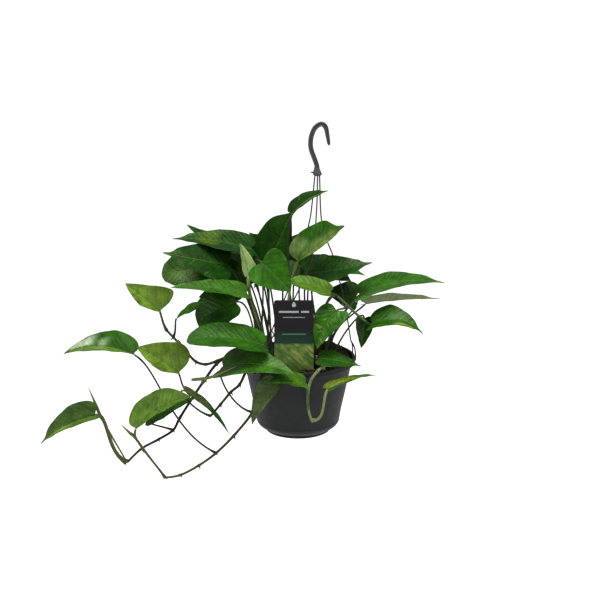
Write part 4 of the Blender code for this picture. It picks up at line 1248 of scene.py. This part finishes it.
def make_label():
    skin = Skin()
    slab(skin, label_outline(), -LABEL_T / 2, LABEL_T / 2)
    add_piece("label_card", skin, [label_print()], "care_label", sharp=30.0)
    top = LABEL_TOP - SOIL_LEVEL
    drop = [(2.4 * s * (1 - 0.45 * c), top - 5.5 + 3.4 * c) for _, c, s in circle(24)]
    add_print("label_marks", "label_light_ink", (0.34, 0.36, 0.36), (0.48, 0.5, 0.5),
              [drop, bar(-19, 6, top - 16.6, top - 14.2), bar(9, 19, top - 16.6, top - 14.2),
               bar(-14, 14, top - 23.2, top - 22.4)])
    add_print("label_rule", "label_green_ink", (0.05, 0.14, 0.1), (0.07, 0.18, 0.13),
              [bar(-15, 15, top - 46.0, top - 44.4)])


# ---- stage and light

def make_stage():
    floor_z = to_frame((0, 0, -FLOOR_DROP))[2]
    paper = Nodes("floor_paper", roughness=0.9, specular=0.1)
    grain = paper.noise(paper.place(), 40.0, 3.0)
    paper.colour(paper.mix(grain, (0.9, 0.9, 0.9), (0.93, 0.93, 0.93)))
    paper.shader.inputs["Emission Color"].default_value = (1, 1, 1, 1)
    paper.link(paper.times(paper.add("LightPath").outputs["Is Camera Ray"], 0.8),
               paper.shader.inputs["Emission Strength"])
    mesh = bpy.data.meshes.new("floor")
    ring = [(FLOOR_R * c, FLOOR_R * s, floor_z) for _, c, s in circle(64)]
    mesh.from_pydata(ring, [], [tuple(range(64))])
    mesh.materials.append(paper.material)
    floor = link("floor", mesh)


def aim(item, target):
    direction = Vector(target) - item.location
    item.rotation_euler = direction.to_track_quat("-Z", "Y").to_euler()


SKY_LIGHT = 0.28          # soft light from all round


def make_lights():
    world = bpy.data.worlds.new("studio")
    world.use_nodes = True
    sky = world.node_tree.nodes["Background"]
    sky.inputs["Color"].default_value = (1.0, 1.0, 1.0, 1.0)
    seen = world.node_tree.nodes.new("ShaderNodeLightPath")
    level = world.node_tree.nodes.new("ShaderNodeMapRange")
    level.inputs["To Min"].default_value = SKY_LIGHT
    level.inputs["To Max"].default_value = 1.0
    world.node_tree.links.new(seen.outputs["Is Camera Ray"], level.inputs["Value"])
    world.node_tree.links.new(level.outputs[0], sky.inputs["Strength"])
    bpy.context.scene.world = world
    middle = to_frame((0, 0, 170))
    for name, at, size, watts in (
            ("softbox_above", (-0.1, -0.5, 1.5), (1.2, 0.9), 42.0),
            ("softbox_left", (-1.7, -1.2, 0.5), (0.7, 1.2), 11.0),
            ("softbox_right", (1.8, -0.9, 0.3), (0.7, 1.2), 14.0)):
        data = bpy.data.lights.new(name, "AREA")
        data.shape = "RECTANGLE"
        data.size, data.size_y = size
        data.energy = watts
        light = link(name, data)
        light.location = at
        aim(light, middle)


CAMERA_DISTANCE = 2.0
CAMERA_PITCH = 15.0
CAMERA_AIM = (2.66, 0.0, 176.2)
LENS = 92.3


def make_camera():
    data = bpy.data.cameras.new("camera")
    data.lens = LENS
    data.sensor_width = 36.0
    camera = link("camera", data)
    pitch = radians(CAMERA_PITCH)
    back = np.array([0.0, -cos(pitch), sin(pitch)]) * CAMERA_DISTANCE
    camera.location = to_frame(CAMERA_AIM) + back
    camera.rotation_euler = (radians(90.0 - CAMERA_PITCH), 0.0, 0.0)
    bpy.context.scene.camera = camera


def main():
    bpy.context.scene.view_settings.view_transform = "Standard"
    materials = make_materials()
    make_camera()
    make_lights()
    make_stage()
    make_pot(materials)
    make_saucer(materials)
    make_soil(materials)
    make_hook(materials)
    for name in STRANDS:
        make_strand(name, materials)
    make_label()
    for name in STEMS:
        make_stem(name, materials)
    for index, (key, spec) in enumerate(LEAVES.items()):
        make_leaf(index, key, spec, materials, "leaf_" + key)
    for index, (*blade, root) in enumerate(CROWN_FILL):
        make_leaf(index + 50, f"fill_{index + 1}", (*blade, *FILL_BEND, root), materials)
    for name, spec in SPEARS.items():
        make_spear(name, spec, materials)


main()
